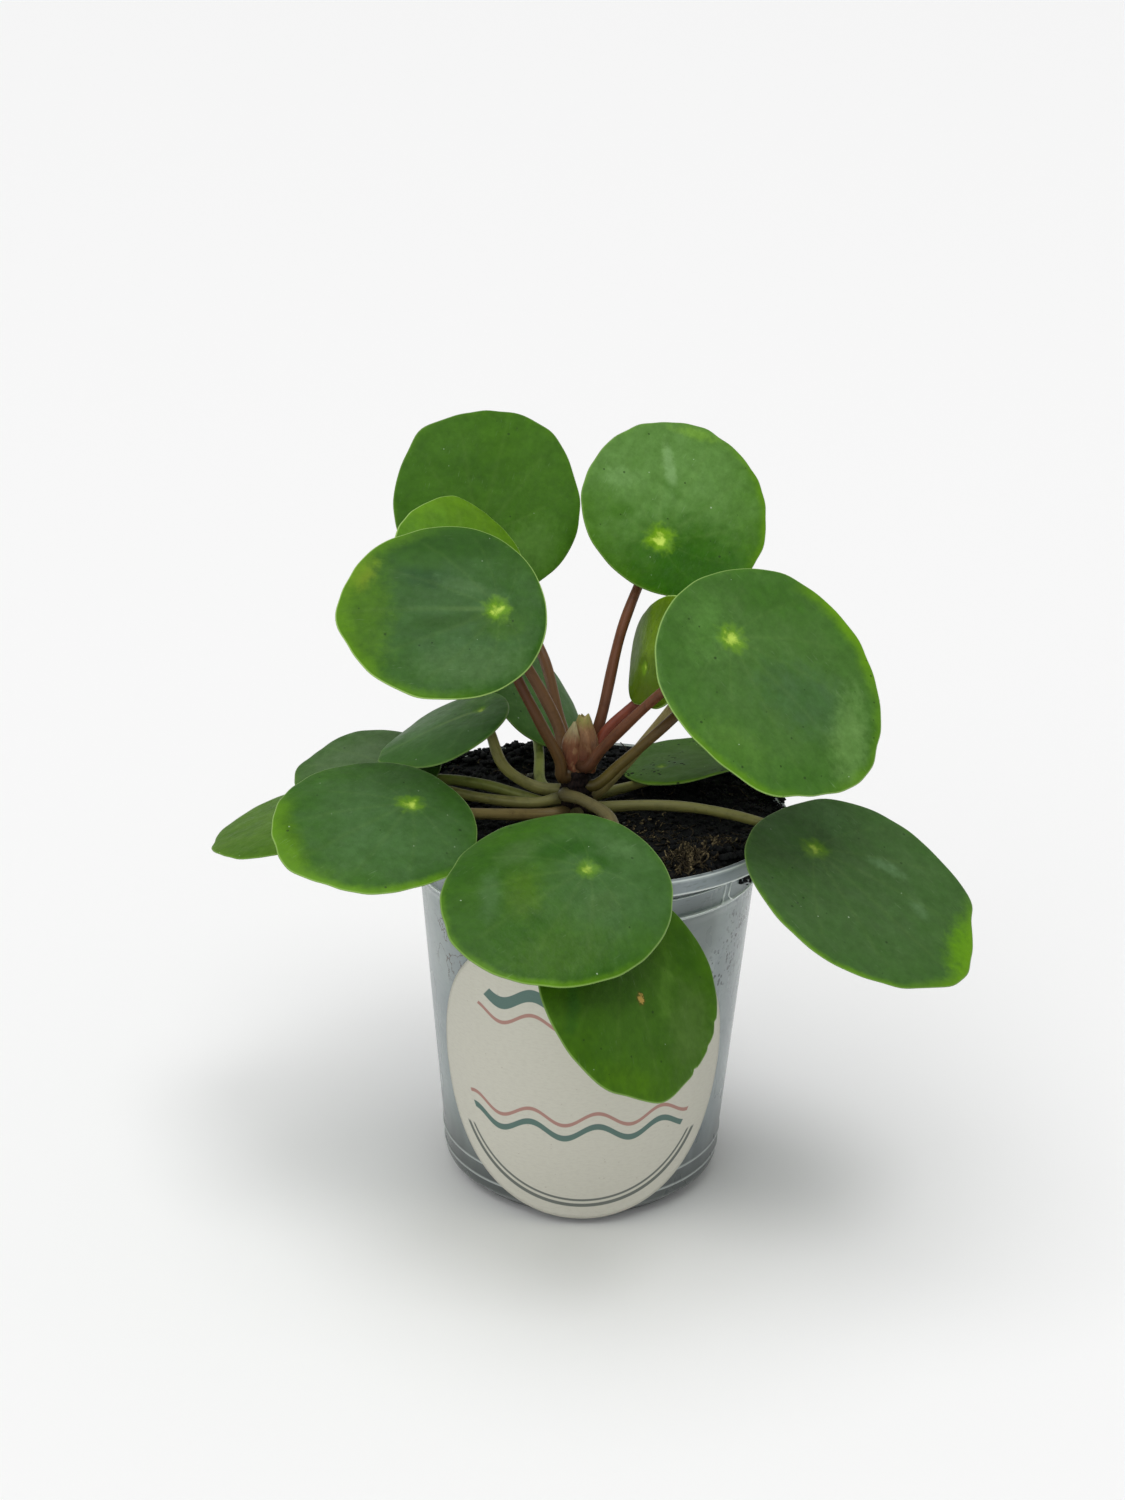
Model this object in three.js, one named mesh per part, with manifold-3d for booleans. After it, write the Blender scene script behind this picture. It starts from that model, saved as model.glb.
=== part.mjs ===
// Potted pilea: a young missionary plant with round shield leaves, in a 12 cm nursery pot.
// Millimetres, +Z up. The origin is the middle of the pot's underside, and the front faces -Y.

import * as THREE from 'three';
import { mergeVertices } from 'three/addons/utils/BufferGeometryUtils.js';
import Module from 'manifold-3d';

const wasm = await Module();
wasm.setup();

// Clearance between pieces that touch
const GAP = 0.3;

// Pot: a thin blown cup with a foot, a stacking ridge, a collar and a rolled lip
const POT_HEIGHT = 117;
const LIP_RADIUS = 60;
const LIP_DEPTH = 4.3;
const LIP_WALL = 1.3;
const SHELF_THICKNESS = 1.3;
const COLLAR_TOP_RADIUS = 52.6;
const COLLAR_FOOT_RADIUS = 51;
const RIDGE_RADIUS = 51.5;
const RIDGE_HEIGHT = 101;
const RIDGE_BAND = 1.6;
const BODY_TOP_RADIUS = 50.5;
const BODY_TOP_HEIGHT = 100;
const BODY_FOOT_RADIUS = 42.5;
const BODY_FOOT_HEIGHT = 6;
const CHAMFER_RADIUS = 40;
const CHAMFER_HEIGHT = 3;
const BASE_RADIUS = 37;
const POT_WALL = 1.1;
const FLOOR = 1.2;
const FOOT_BEADS = [8.5, 13.7];
const BEAD_PROUD = 0.25;
const BEAD_BAND = 1.2;
const POT_SIDES = 40;
const RIB_PAIRS = 12;
const RIB_SPREAD = 1.35;
const RIB_WIDTH = 0.9;
const RIB_PROUD = 0.5;
const RIB_SUNK = 0.4;
const RIB_FOOT = 102.8;
const RIB_TOP = 111.6;
const DRAIN_HOLES = 8;
const DRAIN_RADIUS = 4;
const DRAIN_CIRCLE = 26;

// Label: a round paper sticker wrapped on the front of the pot
const LABEL_RADIUS = 48.8;
const LABEL_HEIGHT = 51;
const LABEL_THICKNESS = 0.4;
const LABEL_POINTS = 60;
const LABEL_STAND_OFF = BEAD_PROUD + GAP;

// Soil: fills the pot, laps over the collar shelf and lies in low heaps
const SOIL_LEVEL = 114.9;
const SOIL_RIM_DEPTH = 0.9;
const SOIL_RELIEF = 0.55;
const SOIL_RINGS = [52.6, 46.5, 40.5, 34.5, 28.5, 22.5, 16.5, 11, 6.5, 3];
const SOIL_HEAPS = [
  { x: 36, y: -36, radius: 13, rise: 3.2 },
  { x: 19, y: -26, radius: 8, rise: 1.4 },
  { x: -24, y: 46, radius: 13, rise: 2.4 },
  { x: 12, y: 50, radius: 12, rise: 1.2 },
  { x: -4, y: -2, radius: 16, rise: -0.9 },
];

// Trunk: the short woody stem, rooted in a plain hole in the soil
const TRUNK = { x: -3.8, y: -2, foot: 100, top: 130, footRadius: 5.6, topRadius: 4.2, sides: 16 };
const TRUNK_SCAR_RISE = 0.25;
const TRUNK_COLLAR_HEIGHT = 115;

// Bud: two papery scales round the growing point, on top of the trunk
const BUD_BASE = TRUNK.top + GAP;
const BUD_SCALES = [
  { x: -4.9, y: -2.4, radius: 3.9, height: 11.5, sides: 14 },
  { x: -1.6, y: -2, radius: 4.3, height: 17.6, sides: 14 },
];

// Blades: nearly round shields, each with its stalk fixed under a hub set back from the middle
const BLADE_THICKNESS = 0.8;
const BLADE_RINGS = [0.4, 0.75, 1];
const BLADE_POINTS = 24;
const BLADE_TAPER = 0.07;
const TIP_REACH = 1;
const TIP_SPREAD = 0.3;
const EDGE_WAVE = 0.45;
const WAVES_ROUND = 3;

// Stalks: slightly tapered, round, and square to the blade where they meet it
const STALK_SIDES = 8;
const STALK_STEP = 8;
const STALK_ROOT_RADIUS = 1.8;
const STALK_TIP_RADIUS = 1.45;
const STALK_SQUARE_END = 2.2;

/**
 * The leaves, from the top of the plant down.
 * hub: where the stalk meets the blade. facing: compass angle that the upper face leans to, in
 * degrees from +X. tilt: how far it leans. turn: where the tip points, from straight downhill.
 * setBack: the hub's distance behind the middle, as a share of half the length. cup and droop:
 * how far the sides and the tip hang. root: compass angle and height on the trunk. via: the
 * points that the stalk passes on its way.
 */
const LEAVES = [
  {
    name: 'leaf_01', hub: [-35, 36, 191], facing: 281.5, tilt: 57, turn: 162, length: 61, width: 57,
    setBack: 0.4, cup: 0, droop: 5, colour: 0x3f6b21, stalk: 0x6b463a,
    root: [98, 131], via: [[-8.8, 9, 140.2], [-14.5, 18, 158], [-29, 37.5, 178]],
  },
  {
    name: 'leaf_02', hub: [19.3, 22, 194.3], facing: 287, tilt: 52, turn: 144.5, length: 60, width: 57,
    setBack: 0.44, cup: -1, droop: 4, colour: 0x4c7a30, stalk: 0x6b463a,
    root: [52, 133], via: [[3, 5, 143.2], [9, 13, 170]],
  },
  {
    name: 'leaf_03', hub: [-36.5, 6, 187], facing: 308, tilt: 40, turn: 160, length: 44, width: 42,
    setBack: 0.33, cup: 4, droop: 2, colour: 0x6f9227, stalk: 0x6f4a3c,
    root: [148, 135], via: [[-8.8, 2.4, 139.6], [-19, 5, 159]],
  },
  {
    name: 'leaf_04', hub: [-27, -14, 182], facing: 282, tilt: 44.5, turn: -93.5, length: 59, width: 56.5,
    setBack: 0.53, cup: 1, droop: 3, colour: 0x4a7740, stalk: 0x603a30,
    root: [222, 129], via: [[-8.5, -6.5, 133.5], [-14.8, -8.5, 147], [-22.5, -9.5, 163]],
  },
  {
    name: 'leaf_05', hub: [39, -24, 178], facing: 300.5, tilt: 45, turn: 28.5, length: 72, width: 69,
    setBack: 0.46, cup: -0.5, droop: 3.5, colour: 0x4d8232, stalk: 0x6a3f35,
    root: [305, 132.5], via: [[3.2, -9, 138.5], [20.3, -18.5, 160]],
  },
  {
    name: 'leaf_06', hub: [15.5, 0, 161.5], facing: 203, tilt: 79.5, turn: 168, length: 34, width: 32.5,
    setBack: 0.3, cup: 3, droop: 4, colour: 0x6c8a20, stalk: 0x70382c,
    root: [5, 136], via: [[4.5, 0, 141], [13, 3.5, 148.5], [19.5, 4.5, 155]],
  },
  {
    name: 'leaf_07', hub: [42, 12, 162], facing: 300, tilt: 40, turn: 30, length: 46, width: 44,
    setBack: 0.42, cup: 1, droop: 3, colour: 0x4d7a34, stalk: 0x6b4a36,
    root: [345, 125.5], via: [[9, -1.5, 131.5], [25, 1.5, 146]],
  },
  {
    name: 'leaf_08', hub: [36, 26, 158], facing: 290, tilt: 45, turn: 80, length: 42, width: 40,
    setBack: 0.42, cup: 1, droop: 3, colour: 0x4a7430, stalk: 0x9a8a5c,
    root: [32, 120.5], via: [[9.2, 6, 127.1], [23.2, 15, 142.5]],
  },
  {
    name: 'leaf_09', hub: [-33, 8, 144.5], facing: 197.5, tilt: 20, turn: -3, length: 40, width: 38.5,
    setBack: 0.57, cup: 2.4, droop: 2, colour: 0x49683d, stalk: 0x7f7a45,
    root: [140, 121.8], via: [[-16, 2, 122.6], [-25.5, 3, 128.5], [-29.8, 6, 138]],
  },
  {
    name: 'leaf_10', hub: [-13.5, 38, 135], facing: 335, tilt: 49, turn: 161, length: 42.5, width: 40.5,
    setBack: 0.33, cup: 3, droop: 3, colour: 0x3f6a2c, stalk: 0x7c8a3f,
    root: [118, 117.6], via: [[-10, 9, 118], [-14.6, 15, 119], [-15.6, 26, 124], [-16.5, 37, 129.5]],
  },
  {
    name: 'leaf_11', hub: [-50.5, -32, 129.3], facing: 302, tilt: 18, turn: -73.5, length: 59, width: 56,
    setBack: 0.47, cup: 2, droop: 3, colour: 0x517a3d, stalk: 0x75633a,
    root: [230, 117.8], via: [[-16, -9.8, 118.3], [-36, -21, 122.5]],
  },
  {
    name: 'leaf_12', hub: [-59, 2, 127.5], facing: 260, tilt: 18, turn: -90, length: 45, width: 43,
    setBack: 0.34, cup: 2, droop: 2, colour: 0x466839, stalk: 0x85844c,
    root: [190, 120.8], via: [[-15, -4.2, 119.9], [-29.5, -2.5, 120], [-46, 0, 122.3]],
  },
  {
    name: 'leaf_13', hub: [-74.8, 6, 115.4], facing: 183, tilt: 14.5, turn: 15, length: 50, width: 52,
    setBack: 0.6, cup: 1, droop: 2, colour: 0x6d8a48, stalk: 0x7d8038,
    root: [165, 117.2],
    via: [[-15, 1.5, 118.2], [-31, 5, 121.6], [-46, 8, 122], [-59, 9, 119.6], [-66, 8.5, 115]],
  },
  {
    name: 'leaf_14', hub: [22.5, 24, 122.2], facing: 174, tilt: 10, turn: 215, length: 46, width: 44.5,
    setBack: 0.47, cup: -0.4, droop: 3.3, colour: 0x46653b, stalk: 0x7d7a48,
    root: [74, 117.8], via: [[6, 11, 118], [16, 19, 118.2]],
  },
  {
    name: 'leaf_15', hub: [65, -30, 117.5], facing: 313, tilt: 27.5, turn: 8.5, length: 71.5, width: 68.5,
    setBack: 0.52, cup: -1.5, droop: 1.5, colour: 0x4b7338, stalk: 0x7b7440,
    root: [335, 119], via: [[18.2, -8.5, 121.6], [33, -12.5, 122.4], [50, -19, 121.2], [57.5, -24, 120.2]],
  },
  {
    name: 'leaf_16', hub: [0.5, -72, 127.5], facing: 292, tilt: 25, turn: -66, length: 63.5, width: 58,
    setBack: 0.35, cup: 6, droop: 4, colour: 0x55833c, stalk: 0x7a7344,
    root: [275, 117.8], via: [[-3.5, -18, 118.2], [-4.5, -42, 120.5], [-3.5, -61, 123.8]],
  },
  {
    name: 'leaf_17', hub: [10, -77.5, 108], facing: 314, tilt: 51.3, turn: -8.5, length: 59, width: 58,
    setBack: 0.4, cup: 1.7, droop: 4, colour: 0x426b24, stalk: 0x7e7a46,
    root: [232, 123.6],
    via: [[-2, -14, 125], [6.5, -27, 124.2], [7.5, -58, 121.5], [6, -66.5, 115]],
  },
];

const degrees = THREE.MathUtils.degToRad;

/** A polar point about an axis through (x, y). */
function polar(x, y, radius, angle, z) {
  return new THREE.Vector3(x + radius * Math.cos(angle), y + radius * Math.sin(angle), z);
}

/** A straight value from a to b at share t. */
function between(a, b, t) {
  return a + (b - a) * t;
}

/** Six times the signed volume of an indexed mesh: negative when its faces point in. */
function signedVolume(positions, indices) {
  let sum = 0;
  const a = new THREE.Vector3();
  const b = new THREE.Vector3();
  const c = new THREE.Vector3();
  for (let i = 0; i < indices.length; i += 3) {
    a.fromArray(positions, 3 * indices[i]);
    b.fromArray(positions, 3 * indices[i + 1]);
    c.fromArray(positions, 3 * indices[i + 2]);
    sum += a.dot(b.cross(c));
  }
  return sum;
}

/** A geometry from points and triangles, turned so that its faces point out. */
function closedGeometry(positions, indices) {
  const order = signedVolume(positions, indices) < 0 ? indices.slice().reverse() : indices;
  const geometry = new THREE.BufferGeometry();
  geometry.setAttribute('position', new THREE.Float32BufferAttribute(positions, 3));
  geometry.setIndex(Array.from(order));
  return geometry;
}

/** Merges a geometry's shared points, drops its flat triangles and makes it a solid. */
function toSolid(geometry) {
  const bare = geometry.clone();
  bare.deleteAttribute('normal');
  bare.deleteAttribute('uv');
  const merged = mergeVertices(bare, 1e-4);
  const indices = [];
  for (let i = 0; i < merged.index.count; i += 3) {
    const [a, b, c] = [0, 1, 2].map((step) => merged.index.getX(i + step));
    if (a !== b && b !== c && c !== a) {
      indices.push(a, b, c);
    }
  }
  const closed = closedGeometry(Array.from(merged.attributes.position.array), indices);
  return new wasm.Manifold(new wasm.Mesh({
    numProp: 3,
    vertProperties: new Float32Array(closed.attributes.position.array),
    triVerts: new Uint32Array(closed.index.array),
  }));
}

/** The geometry of a solid. */
function fromSolid(solid) {
  const mesh = solid.getMesh();
  return closedGeometry(Array.from(mesh.vertProperties), Array.from(mesh.triVerts));
}

/** Skins a row of rings of equal count and closes both ends on a middle point. */
function loft(rings, firstMiddle, lastMiddle) {
  const count = rings[0].length;
  const points = [firstMiddle, ...rings.flat(), lastMiddle];
  const last = points.length - 1;
  const at = (ring, step) => 1 + ring * count + (step % count);
  const indices = [];
  for (let i = 0; i < count; i += 1) {
    indices.push(0, at(0, i + 1), at(0, i));
    indices.push(last, at(rings.length - 1, i), at(rings.length - 1, i + 1));
    for (let k = 0; k < rings.length - 1; k += 1) {
      indices.push(at(k, i), at(k, i + 1), at(k + 1, i + 1));
      indices.push(at(k, i), at(k + 1, i + 1), at(k + 1, i));
    }
  }
  return closedGeometry(points.flatMap((point) => point.toArray()), indices);
}

/** Turns a profile of [radius, height] pairs about +Z. */
function turned(profile, sides) {
  const points = profile.map(([radius, height]) => new THREE.Vector2(radius, height));
  return new THREE.LatheGeometry(points, sides).rotateX(Math.PI / 2);
}

/** An upright round bar about an axis through (x, y). */
function bar(x, y, radius, foot, top, sides) {
  return turned([[0, foot], [radius, foot], [radius, top], [0, top]], sides).translate(x, y, 0);
}

/** The outer radius of the pot's tapered body at a height. */
function bodyRadius(height) {
  const share = (height - BODY_FOOT_HEIGHT) / (BODY_TOP_HEIGHT - BODY_FOOT_HEIGHT);
  return between(BODY_FOOT_RADIUS, BODY_TOP_RADIUS, share);
}

/** The pot's outline, up the outside and down the inside. */
function potProfile() {
  const profile = [[0, 0], [BASE_RADIUS, 0], [CHAMFER_RADIUS, CHAMFER_HEIGHT]];
  profile.push([BODY_FOOT_RADIUS, BODY_FOOT_HEIGHT]);
  for (const height of FOOT_BEADS) {
    for (const [step, proud] of [[-0.5, 0], [0, BEAD_PROUD], [0.5, 0]]) {
      const z = height + step * BEAD_BAND;
      profile.push([bodyRadius(z) + proud, z]);
    }
  }
  profile.push([BODY_TOP_RADIUS, BODY_TOP_HEIGHT]);
  profile.push([RIDGE_RADIUS, RIDGE_HEIGHT - RIDGE_BAND / 3]);
  profile.push([RIDGE_RADIUS, RIDGE_HEIGHT + RIDGE_BAND / 3]);
  profile.push([COLLAR_FOOT_RADIUS, RIDGE_HEIGHT + RIDGE_BAND]);
  const shelf = POT_HEIGHT - LIP_DEPTH;
  profile.push([COLLAR_TOP_RADIUS, shelf - POT_WALL / 2]);
  profile.push([LIP_RADIUS - LIP_WALL / 2, shelf]);
  profile.push([LIP_RADIUS, shelf + LIP_WALL / 2]);
  profile.push([LIP_RADIUS, POT_HEIGHT - LIP_WALL / 3]);
  profile.push([LIP_RADIUS - LIP_WALL / 3, POT_HEIGHT]);
  profile.push([LIP_RADIUS - LIP_WALL, POT_HEIGHT]);
  profile.push([LIP_RADIUS - LIP_WALL, shelf + SHELF_THICKNESS]);
  profile.push([COLLAR_TOP_RADIUS - POT_WALL, shelf + SHELF_THICKNESS]);
  profile.push([COLLAR_FOOT_RADIUS - POT_WALL, RIDGE_HEIGHT + RIDGE_BAND]);
  profile.push([BODY_TOP_RADIUS - POT_WALL, BODY_TOP_HEIGHT]);
  profile.push([BODY_FOOT_RADIUS - POT_WALL, BODY_FOOT_HEIGHT + POT_WALL / 2]);
  profile.push([CHAMFER_RADIUS - POT_WALL, CHAMFER_HEIGHT + POT_WALL]);
  profile.push([BASE_RADIUS, FLOOR], [0, FLOOR]);
  return profile;
}

/** The outer radius of the collar at a height between the ridge and the shelf. */
function collarRadius(height) {
  const foot = RIDGE_HEIGHT + RIDGE_BAND;
  const top = POT_HEIGHT - LIP_DEPTH - POT_WALL / 2;
  return between(COLLAR_FOOT_RADIUS, COLLAR_TOP_RADIUS, (height - foot) / (top - foot));
}

/** One upright stacking rib, sunk into the collar's outside at an angle round the pot. */
function stackingRib(angle) {
  const low = collarRadius(RIB_FOOT);
  const high = collarRadius(RIB_TOP);
  const section = new THREE.Shape([
    new THREE.Vector2(low - RIB_SUNK, RIB_FOOT),
    new THREE.Vector2(low + RIB_PROUD, RIB_FOOT),
    new THREE.Vector2(high + RIB_PROUD, RIB_TOP),
    new THREE.Vector2(high - RIB_SUNK, RIB_TOP),
  ]);
  const rib = new THREE.ExtrudeGeometry(section, { depth: RIB_WIDTH, bevelEnabled: false });
  return rib.translate(0, 0, -RIB_WIDTH / 2).rotateX(Math.PI / 2).rotateZ(angle);
}

/** The pot, with its stacking ribs and drain holes. */
function potGeometry() {
  let pot = toSolid(turned(potProfile(), POT_SIDES));
  for (let pair = 0; pair < RIB_PAIRS; pair += 1) {
    for (const side of [-1, 1]) {
      const angle = degrees((360 / RIB_PAIRS) * (pair + 0.5) + side * RIB_SPREAD);
      pot = pot.add(toSolid(stackingRib(angle)));
    }
  }
  for (let hole = 0; hole < DRAIN_HOLES; hole += 1) {
    const centre = polar(0, 0, DRAIN_CIRCLE, degrees((360 / DRAIN_HOLES) * hole), 0);
    pot = pot.subtract(toSolid(bar(centre.x, centre.y, DRAIN_RADIUS, -1, 2 * FLOOR, 12)));
  }
  return fromSolid(pot);
}

/** The sticker: a thin skin round the pot, trimmed to a circle drawn on that skin. */
function labelGeometry() {
  const inner = (z) => bodyRadius(z) + LABEL_STAND_OFF;
  const outer = (z) => inner(z) + LABEL_THICKNESS;
  const [foot, top] = [LABEL_HEIGHT - LABEL_RADIUS - 1, LABEL_HEIGHT + LABEL_RADIUS + 1];
  const skin = turned(
    [[inner(foot), foot], [outer(foot), foot], [outer(top), top], [inner(top), top], [inner(foot), foot]],
    POT_SIDES,
  );
  const outline = [];
  for (let i = 0; i < LABEL_POINTS; i += 1) {
    const angle = (2 * Math.PI * i) / LABEL_POINTS;
    const z = LABEL_HEIGHT + LABEL_RADIUS * Math.sin(angle);
    const wrap = (LABEL_RADIUS * Math.cos(angle)) / inner(z);
    outline.push(new THREE.Vector2(inner(z) * Math.sin(wrap), z));
  }
  const depth = LIP_RADIUS;
  const punch = new THREE.ExtrudeGeometry(new THREE.Shape(outline), { depth, bevelEnabled: false });
  punch.rotateX(Math.PI / 2);
  return fromSolid(toSolid(skin).intersect(toSolid(punch)));
}

/** A repeatable draw between 0 and 1 from two whole numbers. */
function draw(a, b) {
  const wave = Math.sin(a * 127.1 + b * 311.7) * 43758.5453;
  return wave - Math.floor(wave);
}

/** The height of the soil's surface: a level, low heaps and crumbs. */
function soilHeight(x, y, ring, step) {
  let z = SOIL_LEVEL + SOIL_RELIEF * (2 * draw(ring, step) - 1);
  for (const heap of SOIL_HEAPS) {
    const away = Math.hypot(x - heap.x, y - heap.y) / heap.radius;
    z += heap.rise * Math.exp(-(away * away));
  }
  return z;
}

/** A level ring of the soil's side. */
function soilRing(radius, z) {
  return Array.from({ length: POT_SIDES }, (_, i) => (
    polar(0, 0, radius, (2 * Math.PI * i) / POT_SIDES, z)
  ));
}

/** The soil, clear of the pot all round, with a plain hole for the trunk. */
function soilGeometry() {
  const shelf = POT_HEIGHT - LIP_DEPTH + SHELF_THICKNESS + GAP;
  const wall = POT_WALL + GAP;
  const rim = LIP_RADIUS - LIP_WALL - GAP;
  const rings = [
    soilRing(BASE_RADIUS - 2 * GAP, FLOOR + GAP),
    soilRing(CHAMFER_RADIUS - wall - GAP, CHAMFER_HEIGHT + wall + GAP),
    soilRing(BODY_FOOT_RADIUS - wall, BODY_FOOT_HEIGHT + wall),
    soilRing(BODY_TOP_RADIUS - wall, BODY_TOP_HEIGHT),
    soilRing(COLLAR_FOOT_RADIUS - wall, RIDGE_HEIGHT + RIDGE_BAND),
    soilRing(COLLAR_TOP_RADIUS - wall, shelf),
    soilRing(rim, shelf),
    soilRing(rim, shelf + SOIL_RIM_DEPTH),
  ];
  SOIL_RINGS.forEach((radius, ring) => {
    rings.push(soilRing(radius, 0).map((point, step) => (
      point.setZ(soilHeight(point.x, point.y, ring, step))
    )));
  });
  const bottom = new THREE.Vector3(0, 0, FLOOR + GAP);
  const middle = new THREE.Vector3(0, 0, SOIL_LEVEL);
  const hole = bar(
    TRUNK.x, TRUNK.y, TRUNK.footRadius + GAP, TRUNK.foot - GAP, POT_HEIGHT + GAP, TRUNK.sides,
  );
  return fromSolid(toSolid(loft(rings, bottom, middle)).subtract(toSolid(hole)));
}

/** The trunk's radius at a height: straight in the soil, then tapered, with leaf scars. */
function trunkRadius(height) {
  const share = Math.max(0, (height - TRUNK_COLLAR_HEIGHT) / (TRUNK.top - TRUNK_COLLAR_HEIGHT));
  const scar = share > 0 && Math.round(height) % 2 === 0 ? TRUNK_SCAR_RISE : 0;
  return between(TRUNK.footRadius, TRUNK.topRadius, share) - scar;
}

/** The trunk, or with spare its clearance envelope. */
function trunkGeometry(spare = 0) {
  const profile = [[0, TRUNK.foot - spare], [TRUNK.footRadius + spare, TRUNK.foot - spare]];
  for (let height = TRUNK_COLLAR_HEIGHT; height <= TRUNK.top; height += 1) {
    profile.push([trunkRadius(height) + spare, height]);
  }
  profile.push([trunkRadius(TRUNK.top) + spare, TRUNK.top + spare], [0, TRUNK.top + spare]);
  return turned(profile, TRUNK.sides).translate(TRUNK.x, TRUNK.y, 0);
}

/** One pointed bud scale, or with spare its clearance envelope. */
function budScale(scale, spare) {
  const profile = [[0, BUD_BASE - spare]];
  for (const [share, width] of [[0, 0.82], [0.3, 1], [0.5, 0.93], [0.72, 0.62], [0.9, 0.24]]) {
    profile.push([scale.radius * width + spare, BUD_BASE - spare + (scale.height + spare) * share]);
  }
  profile.push([0, BUD_BASE + scale.height + spare]);
  return turned(profile, scale.sides).translate(scale.x, scale.y, 0);
}

/** The bud: its two scales joined. */
function budSolid(spare = 0) {
  const [outer, inner] = BUD_SCALES.map((scale) => toSolid(budScale(scale, spare)));
  return outer.add(inner);
}

/** A blade's own axes: x to its tip, y across it, z out of its upper face. */
function bladeAxes(leaf) {
  const facing = degrees(leaf.facing);
  const tilt = degrees(leaf.tilt);
  const turn = degrees(leaf.turn);
  const normal = polar(0, 0, Math.sin(tilt), facing, Math.cos(tilt));
  const downhill = polar(0, 0, Math.cos(tilt), facing, -Math.sin(tilt));
  const across = new THREE.Vector3().crossVectors(normal, downhill);
  const tip = downhill.multiplyScalar(Math.cos(turn)).addScaledVector(across, Math.sin(turn));
  return { tip, side: new THREE.Vector3().crossVectors(normal, tip), normal };
}

/** A point on a blade's middle surface, share of the way from its hub to its edge. */
function bladePoint(leaf, phase, share, angle) {
  const halfLength = leaf.length / 2;
  const halfWidth = leaf.width / 2;
  const fromTip = Math.atan2(Math.sin(angle), Math.cos(angle));
  const reach = TIP_REACH * Math.exp(-((fromTip / TIP_SPREAD) ** 2));
  const x = share * (halfLength * (Math.cos(angle) + leaf.setBack) + reach);
  const y = share * halfWidth * Math.sin(angle) * (1 - BLADE_TAPER * Math.cos(angle));
  const forward = Math.max(0, x / (halfLength * (1 + leaf.setBack)));
  const wave = EDGE_WAVE * share ** 3 * Math.sin(WAVES_ROUND * angle + phase);
  const z = wave - leaf.cup * (y / halfWidth) ** 2 - leaf.droop * forward ** 2;
  return new THREE.Vector3(x, y, z);
}

/** A blade: two like faces and an edge, in its own axes with the hub at the origin. */
function bladeGeometry(leaf, phase) {
  const face = (side) => BLADE_RINGS.map((share) => (
    Array.from({ length: BLADE_POINTS }, (_, i) => {
      const point = bladePoint(leaf, phase, share, (2 * Math.PI * i) / BLADE_POINTS);
      return point.setZ(point.z + (side * BLADE_THICKNESS) / 2);
    })
  ));
  const under = face(-1);
  const upper = face(1).reverse();
  const points = [
    new THREE.Vector3(0, 0, -BLADE_THICKNESS / 2),
    ...under.flat(),
    ...upper.flat(),
    new THREE.Vector3(0, 0, BLADE_THICKNESS / 2),
  ];
  const rings = under.length + upper.length;
  const at = (ring, step) => 1 + ring * BLADE_POINTS + (step % BLADE_POINTS);
  const last = points.length - 1;
  const indices = [];
  for (let i = 0; i < BLADE_POINTS; i += 1) {
    indices.push(0, at(0, i + 1), at(0, i));
    indices.push(last, at(rings - 1, i), at(rings - 1, i + 1));
    for (let k = 0; k < rings - 1; k += 1) {
      const [a, b, c, d] = [at(k, i), at(k, i + 1), at(k + 1, i + 1), at(k + 1, i)];
      // Both faces are cut along the same diagonal, so that the blade keeps its thickness.
      const cuts = k < under.length ? [a, b, c, a, c, d] : [a, b, d, b, c, d];
      indices.push(...cuts);
    }
  }
  return closedGeometry(points.flatMap((point) => point.toArray()), indices);
}

/** The curve of a stalk, from inside the trunk to just under the blade's hub. */
function stalkCurve(leaf, normal) {
  const [angle, height] = leaf.root;
  const hub = new THREE.Vector3(...leaf.hub);
  const start = new THREE.Vector3(TRUNK.x, TRUNK.y, height);
  const skin = polar(TRUNK.x, TRUNK.y, TRUNK.footRadius, degrees(angle), height);
  const end = hub.clone().addScaledVector(normal, -(BLADE_THICKNESS / 2 + GAP));
  const square = end.clone().addScaledVector(normal, -STALK_SQUARE_END);
  const via = leaf.via.map((point) => new THREE.Vector3(...point));
  const points = [start.lerp(skin, 0.35), skin, ...via, square, end];
  return new THREE.CatmullRomCurve3(points, false, 'centripetal');
}

/** A round, tapered tube along a curve, its last ring square to a given direction. */
function tube(curve, endNormal) {
  const steps = Math.ceil(curve.getLength() / STALK_STEP);
  const frames = curve.computeFrenetFrames(steps, false);
  const rings = [];
  for (let k = 0; k <= steps; k += 1) {
    const share = k / steps;
    const centre = curve.getPointAt(share);
    const radius = between(STALK_ROOT_RADIUS, STALK_TIP_RADIUS, share);
    const ring = Array.from({ length: STALK_SIDES }, (_, i) => {
      const angle = (2 * Math.PI * i) / STALK_SIDES;
      return centre.clone()
        .addScaledVector(frames.normals[k], radius * Math.cos(angle))
        .addScaledVector(frames.binormals[k], radius * Math.sin(angle));
    });
    if (k === steps) {
      ring.forEach((point) => {
        point.addScaledVector(endNormal, -point.clone().sub(centre).dot(endNormal));
      });
    }
    rings.push(ring);
  }
  return loft(rings, curve.getPointAt(0), curve.getPointAt(1));
}

/** A stalk, trimmed clear of the trunk and the bud. */
function stalkGeometry(leaf, normal, woody) {
  const stalk = toSolid(tube(stalkCurve(leaf, normal), normal)).subtract(woody);
  const pieces = stalk.decompose();
  const volume = (piece) => {
    const mesh = piece.getMesh();
    return Math.abs(signedVolume(mesh.vertProperties, mesh.triVerts));
  };
  return fromSolid(pieces.sort((a, b) => volume(b) - volume(a))[0]);
}

/** A mesh with its name and finish. */
function piece(name, geometry, color, roughness, more = {}) {
  const material = new THREE.MeshStandardMaterial({ color, roughness, metalness: 0, ...more });
  const mesh = new THREE.Mesh(geometry, material);
  mesh.name = name;
  return mesh;
}

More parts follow.
